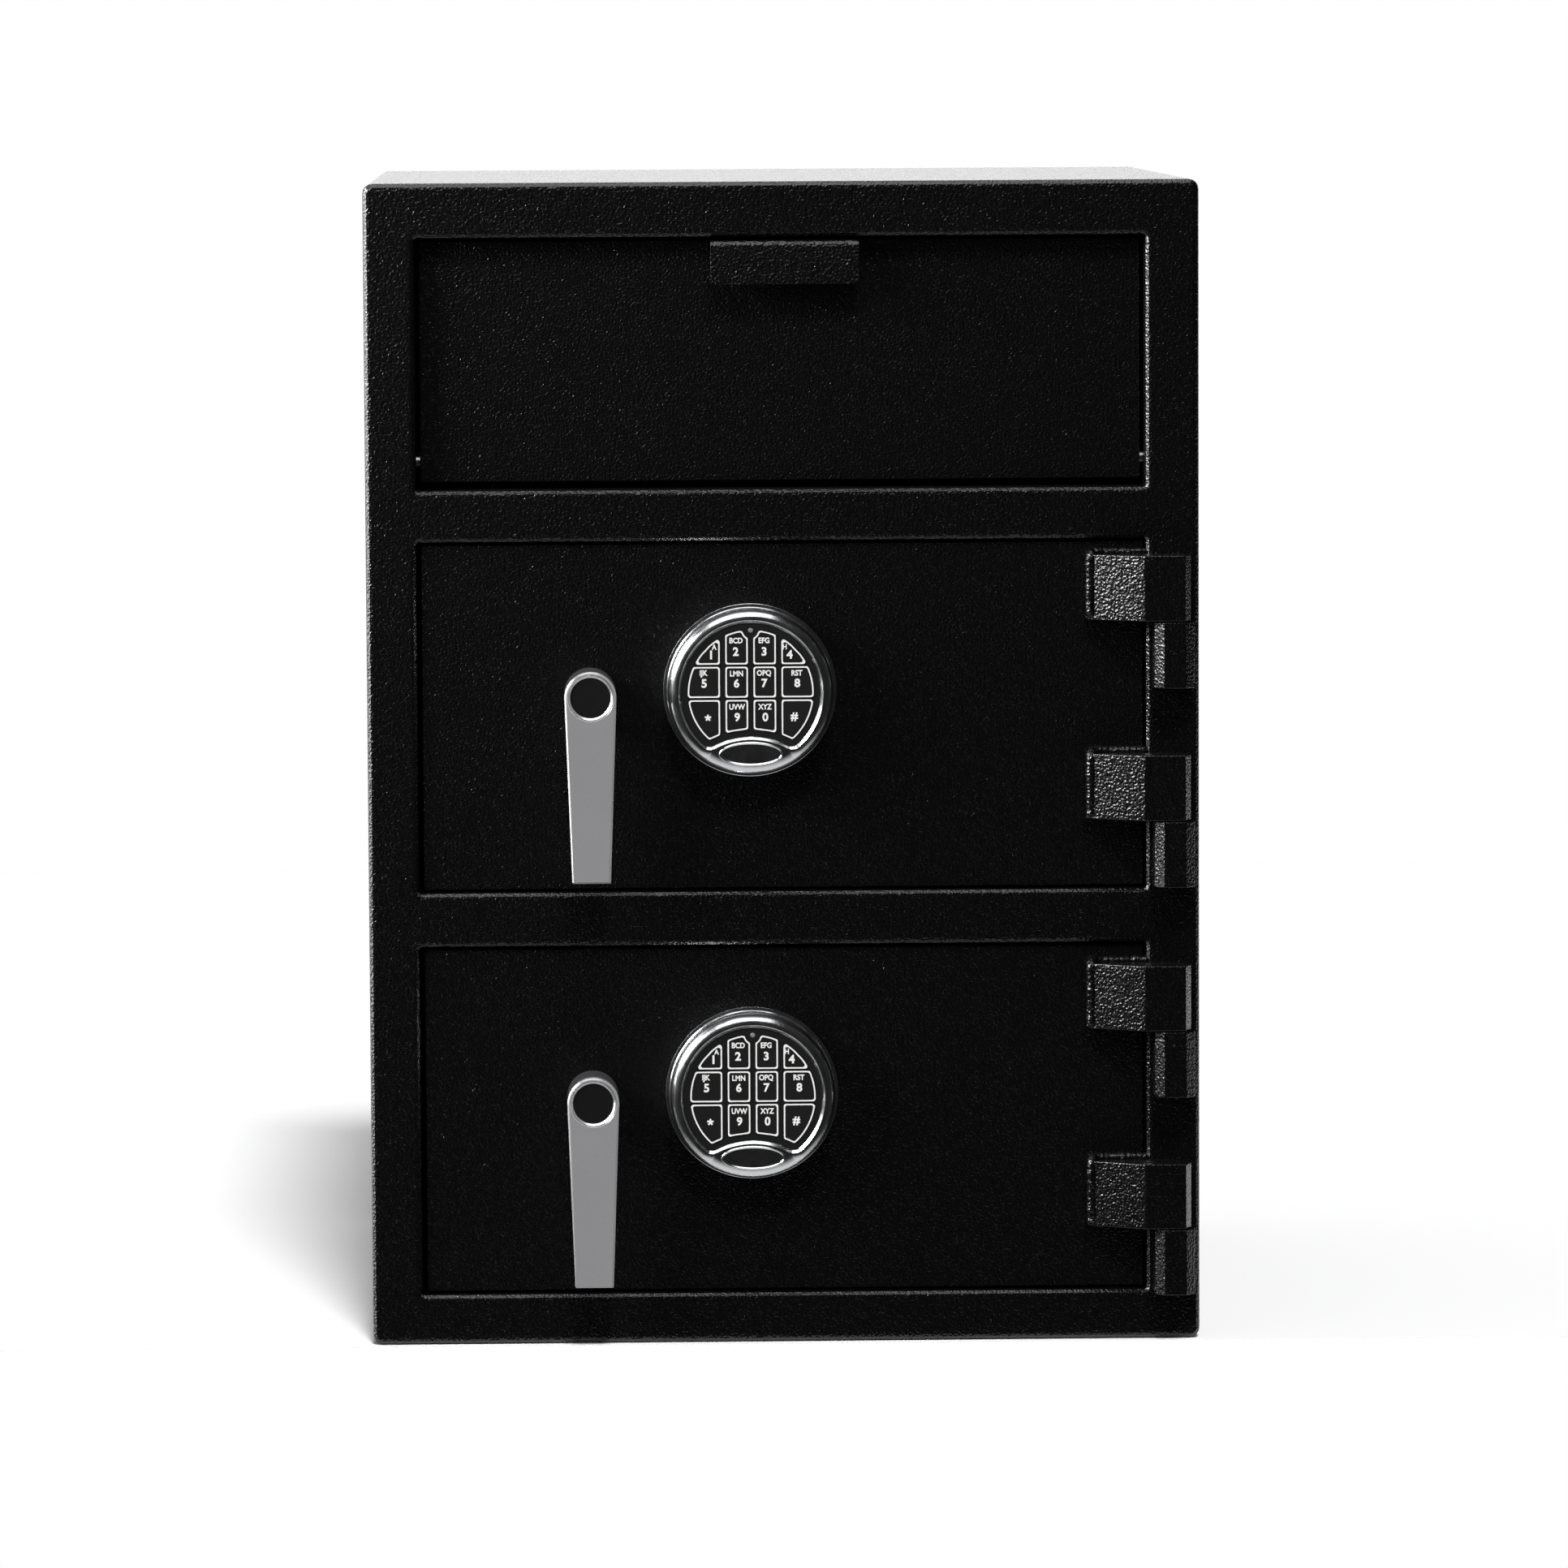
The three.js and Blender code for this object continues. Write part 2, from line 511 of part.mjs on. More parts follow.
function hopperHood() {
  const radius = TRAY_LENGTH + HOOD_GAP;
  const pivot = [PIVOT_Y, PIVOT_Z];
  const front = HOPPER_FLANGE_DEPTH + SEAT_GAP;
  const ceiling = BODY_HEIGHT - WALL - SEAT_GAP;
  const floor = PIVOT_Z - HOOD_BELOW_PIVOT;
  const lowest = THREE.MathUtils.radToDeg(-Math.asin(HOOD_BELOW_PIVOT / radius));
  const left = TRAY_LEFT - HOOD_SIDE_GAP - HOOD_SHEET;
  const right = TRAY_RIGHT + HOOD_SIDE_GAP + HOOD_SHEET;
  const outer = radius + HOOD_SHEET;
  const curved = prismX(outline([
    ...arcPoints(pivot, outer, lowest, 90),
    ...arcPoints(pivot, radius, 90, lowest),
  ]), [left, right]);
  const upright = THREE.MathUtils.radToDeg(Math.acos((front - PIVOT_Y) / outer));
  const side = outline([[front, floor], ...arcPoints(pivot, outer, lowest, upright)]);
  const sides = [
    prismX(side, [left, left + HOOD_SHEET]),
    prismX(side, [right - HOOD_SHEET, right]),
  ];
  const outside = [-BODY_WIDTH, BODY_WIDTH];
  const above = box(outside, [0, BODY_DEPTH], [ceiling, ceiling + 2 * outer]);
  const pitch = (right - left - 2 * HOOD_SHEET) / HOOD_TEETH;
  const below = floor - HOOD_TOOTH_DEPTH;
  const bite = (place) => {
    const x = left + HOOD_SHEET + place * pitch;
    const peak = [x + pitch / 2, floor + HOOD_TOOTH_DEPTH];
    const notch = outline([[x, below], [x + pitch, below], peak]);
    return prismY(notch, [PIVOT_Y + radius / 2, PIVOT_Y + 2 * radius]);
  };
  const bites = Array.from({ length: HOOD_TEETH }, (_, place) => bite(place));
  return cut(join(curved, ...sides), above, ...bites);
}

// Hinges. The outlines are drawn round the hinge's axis, in (x, y).
function aroundHinge(points) {
  return outline(points.map(([x, y]) => [HINGE_X + x, HINGE_Y + y]));
}

function frameKnuckle(bottom) {
  const back = HINGE_AXIS_OUT;
  const right = HINGE_AXIS_OUT - SEAT_GAP;
  const section = aroundHinge([
    [-KNUCKLE_LEFT_REACH, back],
    [-KNUCKLE_LEFT_REACH, -KNUCKLE_FRONT_REACH + KNUCKLE_LEFT_CHAMFER],
    [-KNUCKLE_LEFT_REACH + KNUCKLE_LEFT_CHAMFER, -KNUCKLE_FRONT_REACH],
    [right - KNUCKLE_RIGHT_CHAMFER, -KNUCKLE_FRONT_REACH],
    [right, -KNUCKLE_FRONT_REACH + KNUCKLE_RIGHT_CHAMFER],
    [right, back],
  ]);
  const top = bottom + KNUCKLE_HEIGHT;
  const pinHeight = [bottom + KNUCKLE_HEIGHT / 2, top + HINGE_PIN_LENGTH];
  const pin = rodZ(pinHeight, [HINGE_X, HINGE_Y], HINGE_PIN_DIAMETER / 2);
  return join(prismZ(section, [bottom, top]), pin);
}

// The knuckle's back is round about the axis, so that it turns clear of the frame.
function hingeStrap(bottom) {
  const round = HINGE_AXIS_OUT - SEAT_GAP;
  const face = HINGE_AXIS_OUT + DOOR_RECESS - SEAT_GAP;
  const step = DOOR_RIGHT - HINGE_X;
  const frameSide = HINGE_AXIS_OUT - SLIDE_GAP;
  const section = aroundHinge([
    [-STRAP_REACH, face],
    [-STRAP_REACH, face - STRAP_END_HEIGHT + STRAP_END_SLOPE],
    [-STRAP_REACH + STRAP_END_SLOPE, face - STRAP_END_HEIGHT],
    [-STRAP_FLAT_REACH, -KNUCKLE_FRONT_REACH],
    [round - KNUCKLE_RIGHT_CHAMFER, -KNUCKLE_FRONT_REACH],
    ...arcPoints([0, 0], round, KNUCKLE_ROUND_FROM_DEGREES, KNUCKLE_ROUND_TO_DEGREES, 2 * BEND_STEPS),
    [0, frameSide],
    [step, frameSide],
    [step, face],
  ]);
  const boreHeight = [bottom - OVERCUT, bottom + HINGE_PIN_LENGTH + HINGE_BORE_EXTRA_DEPTH];
  const bore = rodZ(boreHeight, [HINGE_X, HINGE_Y], HINGE_PIN_DIAMETER / 2 + SLIDE_GAP);
  return cut(prismZ(section, [bottom, bottom + KNUCKLE_HEIGHT]), bore);
}

// Door plate, with what is welded to its back
function doorPlate() {
  const face = roundedRectangle([DOOR_LEFT, DOOR_RIGHT], [0, DOOR_HEIGHT], OPENING_CORNER_RADIUS);
  const plate = prismY(face, [DOOR_RECESS, DOOR_BACK], DOOR_EDGE_BEVEL);
  const inPlate = DOOR_BACK - DOOR_THICKNESS / 2;
  const guideHeight = [GUIDE_BAR_END_MARGIN, DOOR_HEIGHT - GUIDE_BAR_END_MARGIN];
  const guide = box([GUIDE_LEFT, GUIDE_RIGHT], [inPlate, DOOR_BACK + GUIDE_BAR_DEPTH], guideHeight);
  const boltHoles = BOLT_HEIGHTS.map((z) => {
    const along = [GUIDE_LEFT - OVERCUT, GUIDE_RIGHT + OVERCUT];
    return rodX(along, [BOLT_Y, z], BOLT_DIAMETER / 2 + SLIDE_GAP);
  });
  const deadFront = DOOR_FLANGE_DEPTH + DEAD_BAR_FLANGE_GAP;
  const deadBack = deadFront + DEAD_BAR_THICKNESS;
  const deadHeight = [DEAD_BAR_END_MARGIN, DOOR_HEIGHT - DEAD_BAR_END_MARGIN];
  const foot = [DOOR_RIGHT - DEAD_BAR_INSET - DEAD_BAR_WIDTH, DOOR_RIGHT - DEAD_BAR_INSET];
  const deadFoot = box(foot, [inPlate, deadBack], deadHeight);
  const deadLip = box([foot[0], foot[1] + DEAD_BAR_REACH], [deadFront, deadBack], deadHeight);
  const restLeft = HANDLE_X + CAM_RADIUS + CARRIAGE_STOP_GAP;
  const tailRest = box(
    [restLeft, restLeft + GUIDE_BAR_WIDTH],
    [inPlate, CARRIAGE_FRONT - SEAT_GAP],
    [TAIL_BOTTOM, TAIL_TOP],
  );
  const through = [0, DOOR_BACK + OVERCUT];
  const spindleHole = rodY(through, [HANDLE_X, HANDLE_HEIGHT], SPINDLE_DIAMETER / 2 + SLIDE_GAP);
  const cableHole = rodY(through, [KEYPAD_X, KEYPAD_HEIGHT], CABLE_HOLE_DIAMETER / 2);
  return cut(join(plate, cut(guide, ...boltHoles), deadFoot, deadLip, tailRest), spindleHole, cableHole);
}

function innerPan() {
  const left = GUIDE_RIGHT + SEAT_GAP;
  const right = DOOR_RIGHT - PAN_RIGHT_INSET;
  const front = DOOR_BACK + SEAT_GAP;
  const back = DOOR_BACK + PAN_DEPTH;
  const height = [PAN_BOTTOM_MARGIN, LOCK_TOP + PAN_LOCK_GAP + PAN_SHEET];
  const hollow = box(
    [left - OVERCUT, right - PAN_SHEET],
    [front - OVERCUT, back - PAN_SHEET],
    [height[0] + PAN_SHEET, height[1] - PAN_SHEET],
  );
  return cut(box([left, right], [front, back], height), hollow);
}

// Boltwork. A spiral slot in the cam draws the carriage's pin outwards at a steady rate.
function boltCarriage() {
  const back = CARRIAGE_FRONT + CARRIAGE_THICKNESS;
  const thick = [CARRIAGE_FRONT, back];
  const barHeight = [
    BOLT_HEIGHTS[0] - CARRIAGE_BAR_END_MARGIN,
    BOLT_HEIGHTS[BOLT_HEIGHTS.length - 1] + CARRIAGE_BAR_END_MARGIN,
  ];
  const bar = box([CARRIAGE_LEFT, CARRIAGE_LEFT + CARRIAGE_BAR_WIDTH], thick, barHeight);
  const tail = box([CARRIAGE_LEFT, TAIL_RIGHT], thick, [TAIL_BOTTOM, TAIL_TOP]);
  const boltSpan = [DOOR_LEFT + BOLT_TIP_INSET, CARRIAGE_LEFT + CARRIAGE_BAR_WIDTH / 2];
  const bolts = BOLT_HEIGHTS.map((z) => rodX(boltSpan, [BOLT_Y, z], BOLT_DIAMETER / 2));
  const pinX = HANDLE_X - CAM_START_RADIUS;
  const pin = rodY([CAM_FRONT, BOLT_Y], [pinX, HANDLE_HEIGHT], CAM_PIN_DIAMETER / 2);
  const notchBottom = LOCK_BOTTOM - LOCK_BOLT_SHOWING - LOCK_BOLT_TRAVEL - PASS_GAP;
  const notch = box(
    [LOCK_BOLT_LEFT - PASS_GAP, LOCK_BOLT_RIGHT + PASS_GAP],
    [CARRIAGE_FRONT - OVERCUT, back + OVERCUT],
    [notchBottom, TAIL_TOP + OVERCUT],
  );
  return cut(join(bar, tail, ...bolts, pin), notch);
}

function camSlot() {
  const halfWidth = CAM_PIN_DIAMETER / 2 + SLIDE_GAP;
  const rate = BOLT_STROKE / HANDLE_TURN_DEGREES;
  const inner = [];
  const outer = [];
  const start = -CAM_SLOT_OVERRUN_DEGREES;
  const sweep = HANDLE_TURN_DEGREES + 2 * CAM_SLOT_OVERRUN_DEGREES;
  for (let step = 0; step <= CAM_SLOT_STEPS; step += 1) {
    const turn = start + (sweep * step) / CAM_SLOT_STEPS;
    const radius = CAM_START_RADIUS + rate * turn;
    const angle = THREE.MathUtils.degToRad(180 + turn);
    const lean = Math.atan2(THREE.MathUtils.radToDeg(rate), radius);
    const place = [HANDLE_X + radius * Math.cos(angle), HANDLE_HEIGHT + radius * Math.sin(angle)];
    const normal = [Math.cos(angle - lean), Math.sin(angle - lean)];
    outer.push([place[0] + halfWidth * normal[0], place[1] + halfWidth * normal[1]]);
    inner.push([place[0] - halfWidth * normal[0], place[1] - halfWidth * normal[1]]);
  }
  return outline([...outer, ...inner.reverse()]);
}

function slotEnd(turn, depth) {
  const radius = CAM_START_RADIUS + (BOLT_STROKE * turn) / HANDLE_TURN_DEGREES;
  const angle = THREE.MathUtils.degToRad(180 + turn);
  const place = [HANDLE_X + radius * Math.cos(angle), HANDLE_HEIGHT + radius * Math.sin(angle)];
  return rodY(depth, place, CAM_PIN_DIAMETER / 2 + SLIDE_GAP);
}

function spindleCam() {
  const centre = [HANDLE_X, HANDLE_HEIGHT];
  const back = CAM_FRONT + CAM_THICKNESS;
  const disc = rodY([CAM_FRONT, back], centre, CAM_RADIUS, ROUND_SIDES);
  const spindle = rodY([DOOR_RECESS - SPINDLE_SOCKET_DEPTH, back], centre, SPINDLE_DIAMETER / 2);
  const through = [CAM_FRONT - OVERCUT, back + OVERCUT];
  const ends = [
    slotEnd(-CAM_SLOT_OVERRUN_DEGREES, through),
    slotEnd(HANDLE_TURN_DEGREES + CAM_SLOT_OVERRUN_DEGREES, through),
  ];
  return cut(join(disc, spindle), prismY(camSlot(), through), ...ends);
}

function handleHub() {
  const radius = LEVER_HEAD_DIAMETER / 2;
  const neck = LEVER_RING_BORE / 2 - SEAT_GAP;
  const leverFront = DOOR_RECESS - LEVER_STANDOFF;
  const body = turnedY([
    [0, DOOR_RECESS - SEAT_GAP],
    [radius, DOOR_RECESS - SEAT_GAP],
    [radius, leverFront + LEVER_THICKNESS + SEAT_GAP],
    [neck, leverFront + LEVER_THICKNESS + SEAT_GAP],
    [neck, leverFront + HUB_END_RECESS],
    [0, leverFront + HUB_END_RECESS],
  ], [HANDLE_X, HANDLE_HEIGHT]);
  const socketEnd = DOOR_RECESS - SPINDLE_SOCKET_DEPTH - SEAT_GAP;
  const socket = rodY([socketEnd, DOOR_RECESS], [HANDLE_X, HANDLE_HEIGHT], SPINDLE_DIAMETER / 2 + SEAT_GAP);
  return cut(body, socket);
}

function handleLever() {
  const head = LEVER_HEAD_DIAMETER / 2;
  const taper = THREE.MathUtils.radToDeg(Math.atan((head - LEVER_END_WIDTH / 2) / LEVER_LENGTH));
  const end = HANDLE_HEIGHT - LEVER_LENGTH;
  const shape = outline([
    ...arcPoints([HANDLE_X, HANDLE_HEIGHT], head, -taper, 180 + taper, ROUND_SIDES / 2),
    [HANDLE_X - LEVER_END_WIDTH / 2, end],
    [HANDLE_X + LEVER_END_WIDTH / 2, end],
  ]);
  const front = DOOR_RECESS - LEVER_STANDOFF;
  const back = front + LEVER_THICKNESS;
  const through = [front - OVERCUT, back + OVERCUT];
  const bore = rodY(through, [HANDLE_X, HANDLE_HEIGHT], LEVER_RING_BORE / 2, ROUND_SIDES);
  return cut(prismY(shape, [front, back], LEVER_EDGE_BEVEL), bore);
}

// Lock. Its bolt drops beside the tooth on the carriage's tail and holds it thrown or drawn.
function lockCase() {
  const front = DOOR_BACK + SEAT_GAP;
  const body = box(
    [LOCK_LEFT, LOCK_LEFT + LOCK_WIDTH],
    [front, front + LOCK_DEPTH],
    [LOCK_BOTTOM, LOCK_TOP],
  );
  const halfPocket = LOCK_BOLT_THICKNESS / 2 + SLIDE_GAP;
  const pocketTop = LOCK_BOTTOM + LOCK_BOLT_LENGTH - LOCK_BOLT_SHOWING + PASS_GAP;
  const pocket = box(
    [LOCK_BOLT_LEFT - SLIDE_GAP, LOCK_BOLT_RIGHT + SLIDE_GAP],
    [BOLT_Y - halfPocket, BOLT_Y + halfPocket],
    [LOCK_BOTTOM - OVERCUT, pocketTop],
  );
  return cut(body, pocket);
}

function lockBolt() {
  const bottom = LOCK_BOTTOM - LOCK_BOLT_SHOWING;
  const thick = [BOLT_Y - LOCK_BOLT_THICKNESS / 2, BOLT_Y + LOCK_BOLT_THICKNESS / 2];
  return box([LOCK_BOLT_LEFT, LOCK_BOLT_RIGHT], thick, [bottom, bottom + LOCK_BOLT_LENGTH]);
}

// Keypad. Its pieces are drawn round its centre and "out" counts from the door's face.
function outwards(nearer, farther) {
  return [DOOR_RECESS - farther, DOOR_RECESS - nearer];
}

function fieldOutline(out, gap) {
  const centre = [KEYPAD_X, KEYPAD_HEIGHT];
  const disc = rodY(out, centre, KEYPAD_FIELD_RADIUS - gap, ROUND_SIDES);
  const archCentre = [KEYPAD_X, KEYPAD_HEIGHT + KEYPAD_ARCH_CENTRE];
  const through = [out[0] - OVERCUT, out[1] + OVERCUT];
  return cut(disc, rodY(through, archCentre, KEYPAD_ARCH_RADIUS + gap, ROUND_SIDES));
}

// The rim rises from its straight side in a quarter of an ellipse and falls a little to the key field.
function keypadBezel() {
  const crestOut = KEYPAD_OUT - KEYPAD_CREST_DROP;
  const dome = arcPoints([0, 0], 1, 0, 90, BEND_STEPS).map(([across, up]) => [
    KEYPAD_RADIUS - KEYPAD_CREST_INSET * (1 - across),
    KEYPAD_SIDE_OUT + (KEYPAD_OUT - KEYPAD_SIDE_OUT) * up,
  ]);
  const top = [[KEYPAD_FIELD_RADIUS, crestOut], [0, crestOut]];
  const profile = [[0, SEAT_GAP], [KEYPAD_RADIUS, SEAT_GAP], ...dome, ...top];
  const centre = [KEYPAD_X, KEYPAD_HEIGHT];
  const body = turnedY(profile.map(([radius, out]) => [radius, DOOR_RECESS - out]), centre);
  const pocketFloor = KEYPAD_FACE_OUT - KEYPAD_FACE_THICKNESS - SEAT_GAP;
  const pocket = fieldOutline(outwards(pocketFloor, KEYPAD_OUT + OVERCUT), 0);
  const hollowOut = outwards(-OVERCUT, pocketFloor - KEYPAD_FLOOR);
  const hollow = rodY(hollowOut, centre, KEYPAD_RADIUS - KEYPAD_SHELL, ROUND_SIDES);
  const badge = new THREE.CylinderGeometry(1, 1, 2 * BADGE_RAISE, ROUND_SIDES);
  badge.scale(BADGE_HALF_WIDTH, 1, BADGE_HALF_HEIGHT);
  badge.translate(KEYPAD_X, DOOR_RECESS - crestOut, KEYPAD_HEIGHT + BADGE_HEIGHT);
  return join(cut(body, pocket, hollow), cut(solid(badge), pocket));
}

// Key places as [column, row], counted from the left and from the top
const KEYS = [
  ['1', 0, 0], ['2', 1, 0], ['3', 2, 0], ['4', 3, 0],
  ['5', 0, 1], ['6', 1, 1], ['7', 2, 1], ['8', 3, 1],
  ['star', 0, 2], ['9', 1, 2], ['0', 2, 2], ['hash', 3, 2],
];

// A key's block is its cell of the grid, within a disc, above the arch and clear of the lamp.
function keyBlock(column, row, out, gap) {
  const side = column < 2 ? -1 : 1;
  const inner = KEY_COLUMN_GAP / 2 - gap;
  const next = KEY_COLUMN_GAP / 2 + KEY_WIDTH;
  const isOuter = column === 0 || column === 3;
  const near = isOuter ? next + KEY_COLUMN_GAP - gap : inner;
  const far = isOuter ? KEYPAD_RADIUS : next + gap;
  const rowTop = KEY_MIDDLE_ROW_BOTTOM + KEY_ROW_HEIGHT;
  const rows = [
    [rowTop + KEY_ROW_GAP - gap, KEYPAD_RADIUS],
    [KEY_MIDDLE_ROW_BOTTOM - gap, rowTop + gap],
    [-KEYPAD_RADIUS, KEY_MIDDLE_ROW_BOTTOM - KEY_ROW_GAP + gap],
  ];
  const across = side < 0 ? [KEYPAD_X - far, KEYPAD_X - near] : [KEYPAD_X + near, KEYPAD_X + far];
  const cell = box(across, out, rows[row].map((z) => KEYPAD_HEIGHT + z));
  const disc = rodY(out, [KEYPAD_X, KEYPAD_HEIGHT], KEY_DISC_RADIUS + gap, ROUND_SIDES);
  const beyond = [out[0] - OVERCUT, out[1] + OVERCUT];
  const archRadius = KEYPAD_ARCH_RADIUS + KEY_ARCH_GAP - gap;
  const arch = rodY(beyond, [KEYPAD_X, KEYPAD_HEIGHT + KEYPAD_ARCH_CENTRE], archRadius, ROUND_SIDES);
  const lampRadius = LAMP_RADIUS + KEY_LAMP_GAP - gap;
  const lamp = rodY(beyond, [KEYPAD_X, KEYPAD_HEIGHT + LAMP_HEIGHT], lampRadius);
  return cut(cell.intersect(disc), arch, lamp);
}

function keypadFace() {
  const back = KEYPAD_FACE_OUT - KEYPAD_FACE_THICKNESS;
  const thick = outwards(back, KEYPAD_FACE_OUT);
  const through = outwards(back - OVERCUT, KEYPAD_FACE_OUT + OVERCUT);
  const holes = KEYS.map(([, column, row]) => keyBlock(column, row, through, SEAT_GAP));
  const lampOut = outwards(back, KEYPAD_FACE_OUT + LAMP_RAISE);
  const lamp = rodY(lampOut, [KEYPAD_X, KEYPAD_HEIGHT + LAMP_HEIGHT], LAMP_RADIUS);
  return join(cut(fieldOutline(thick, SEAT_GAP), ...holes), lamp);
}

function key(column, row) {
  const floor = KEYPAD_FACE_OUT - KEYPAD_FACE_THICKNESS - SEAT_GAP;
  const out = outwards(floor + KEY_TRAVEL + KEY_PRESS_CLEARANCE, KEYPAD_FACE_OUT + KEY_PROUD);
  return keyBlock(column, row, out, 0);
}

// Assembly
function door(name, hinges) {
  const group = new THREE.Group();
  group.add(
    piece(`${name}_door_plate`, doorPlate(), texturedBlack),
    piece(`${name}_inner_pan`, innerPan(), texturedBlack),
    piece(`${name}_bolt_carriage`, boltCarriage(), platedSteel),
    piece(`${name}_handle_lever`, handleLever(), satinZinc),
    piece(`${name}_handle_hub`, handleHub(), blackPlastic),
    piece(`${name}_spindle_cam`, spindleCam(), platedSteel),
    piece(`${name}_lock_case`, lockCase(), lockGrey),
    piece(`${name}_lock_bolt`, lockBolt(), platedSteel),
    piece(`${name}_keypad_bezel`, keypadBezel(), chrome),
    piece(`${name}_keypad_face`, keypadFace(), keypadBlack),
  );
  for (const [label, column, row] of KEYS) {
    group.add(piece(`${name}_key_${label}`, key(column, row), keypadBlack));
  }
  ['bottom', 'top'].forEach((place, i) => {
    const strapBottom = hinges[i] + KNUCKLE_HEIGHT + KNUCKLE_GAP;
    group.add(piece(`${name}_knuckle_${place}`, frameKnuckle(hinges[i]), texturedBlack));
    group.add(piece(`${name}_strap_${place}`, hingeStrap(strapBottom), texturedBlack));
  });
  return group;
}

function cabinet() {
  const group = new THREE.Group();
  group.add(
    piece('body_shell', bodyShell(), texturedBlack),
    piece('front_frame', frontFrame(), texturedBlack),
    piece('divider_shelf', dividerShelf(), texturedBlack),
    piece('hopper_hood', hopperHood(), texturedBlack),
    piece('hopper_panel', hopperPanel(), texturedBlack),
    piece('hopper_pull', hopperPull(), texturedBlack),
    piece('hopper_tray', hopperTray(), texturedBlack),
  );
  return group;
}

const safe = new THREE.Group();
safe.position.y = -BODY_DEPTH / 2;

const upperDoor = door('upper', HINGE_BOTTOMS);
upperDoor.position.z = UPPER_OPENING_BOTTOM + DOOR_END_GAP;

const lowerDoor = door('lower', HINGE_BOTTOMS.map((height) => height - LOWER_DOOR_HINGE_DROP));
lowerDoor.position.z = LOWER_OPENING_BOTTOM + DOOR_END_GAP;

safe.add(cabinet(), upperDoor, lowerDoor);

export default safe;
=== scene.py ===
"""Drop safe with a tilt-out deposit hopper: its visible model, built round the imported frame.

Sizes are metres, +X is right, +Z is up and the front faces -Y. The frame gives every piece its place.
"""

import math

import bmesh
import bpy
from mathutils import Euler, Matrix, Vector


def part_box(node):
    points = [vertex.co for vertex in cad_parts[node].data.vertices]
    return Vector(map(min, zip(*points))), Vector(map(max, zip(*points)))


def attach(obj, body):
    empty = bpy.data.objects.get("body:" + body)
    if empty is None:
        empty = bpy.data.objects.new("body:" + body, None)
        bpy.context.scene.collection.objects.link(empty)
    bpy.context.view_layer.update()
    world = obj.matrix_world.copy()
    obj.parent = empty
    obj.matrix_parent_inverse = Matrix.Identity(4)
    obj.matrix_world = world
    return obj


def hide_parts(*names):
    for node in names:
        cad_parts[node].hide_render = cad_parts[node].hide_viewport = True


bl_info = {
    "name": "Drop safe",
    "version": (1, 0, 0),
    "blender": (4, 5, 0),
    "location": "View3D > Sidebar > Safe",
    "description": "Builds the visible pieces of a drop safe round its packed frame",
    "category": "Object",
}

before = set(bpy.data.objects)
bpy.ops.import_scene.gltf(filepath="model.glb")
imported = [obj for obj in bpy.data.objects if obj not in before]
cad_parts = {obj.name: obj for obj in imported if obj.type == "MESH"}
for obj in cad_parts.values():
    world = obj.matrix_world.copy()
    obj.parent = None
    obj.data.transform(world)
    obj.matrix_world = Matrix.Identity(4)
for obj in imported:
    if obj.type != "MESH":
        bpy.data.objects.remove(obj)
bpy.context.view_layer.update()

MM = 0.001
TURN = 2 * math.pi
DOORS = ("upper", "lower")
DOOR_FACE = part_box("upper_door_plate")[0].y

# Meshing: the angles up to which shading stays smooth, from which edges are rounded, below which faces
# count as flat, and at which a point of a loop counts as a corner or as straight. Then the distance at
# which points merge, a length that counts as none, and how near a CAD corner lies to where it is named.
SMOOTH_ANGLE = math.radians(38)
BEVEL_ANGLE = math.radians(28)
FLAT_ANGLE = math.radians(0.5)
CORNER_ANGLE = math.radians(12)
STRAIGHT_ANGLE = math.radians(0.4)
MERGE = 1e-6
TINY = 1e-9
CORNER_REACH = 0.06 * MM

# Rounding of each piece's edges
SHELL_EDGE = 1.5 * MM
FRAME_EDGE = 0.9 * MM
SHELF_EDGE = 0.8 * MM
HOOD_EDGE = 0.3 * MM
TRAY_EDGE = 0.5 * MM
PANEL_EDGE = 0.9 * MM
PULL_EDGE = 0.9 * MM
DOOR_EDGE = 0.45 * MM
COVER_EDGE = 0.9 * MM
HINGE_EDGE = 0.7 * MM
CAM_EDGE = 0.3 * MM
BOLT_EDGE = 0.5 * MM
LOCK_CASE_EDGE = 1.2 * MM

# Hopper. The pivot sleeves are placed from the panel's back and foot, and reach between two distances from
# each end of the tray.
PANEL_CORNER = 1.6 * MM
SLEEVE_RADIUS = 4.15 * MM
SLEEVE_BEVEL = 0.5 * MM
SLEEVE_BEHIND = 4.5 * MM
SLEEVE_UP = 12 * MM
SLEEVE_ENDS = (10.8 * MM, 0.1 * MM)
SLEEVE_SIDES = 40
PULL_BEND = 4 * MM
PULL_CORNER = 4 * MM
PULL_SHEET = 3 * MM
PULL_LEAN = math.radians(4)
PULL_SHARP_ANGLE = math.radians(40)
PULL_COLUMNS = 12
PULL_BEND_STEPS = 8
PULL_CORNER_STEPS = 9

# Screws: how far their seats are sunk, and shares of their radius and height
SCREW_SUNK = 0.2 * MM
SCREW_HEIGHT = 0.55
SCREW_SOCKET = 0.42
SCREW_SHANK = 0.6
SCREW_SIDES = 24
SCREW_SMOOTH_ANGLE = math.radians(30)
SCREW_CROWN = ((1, 0.6), (0.86, 0.86), (0.6, 1), (0.46, 1), (0.46, 0.3), (1, 0.3))
COVER_SCREW_RADIUS = 4 * MM
COVER_SCREW_INSET = 12 * MM
LOCK_SCREW_RADIUS = 3.5 * MM
LOCK_SCREW_INSET = 7 * MM

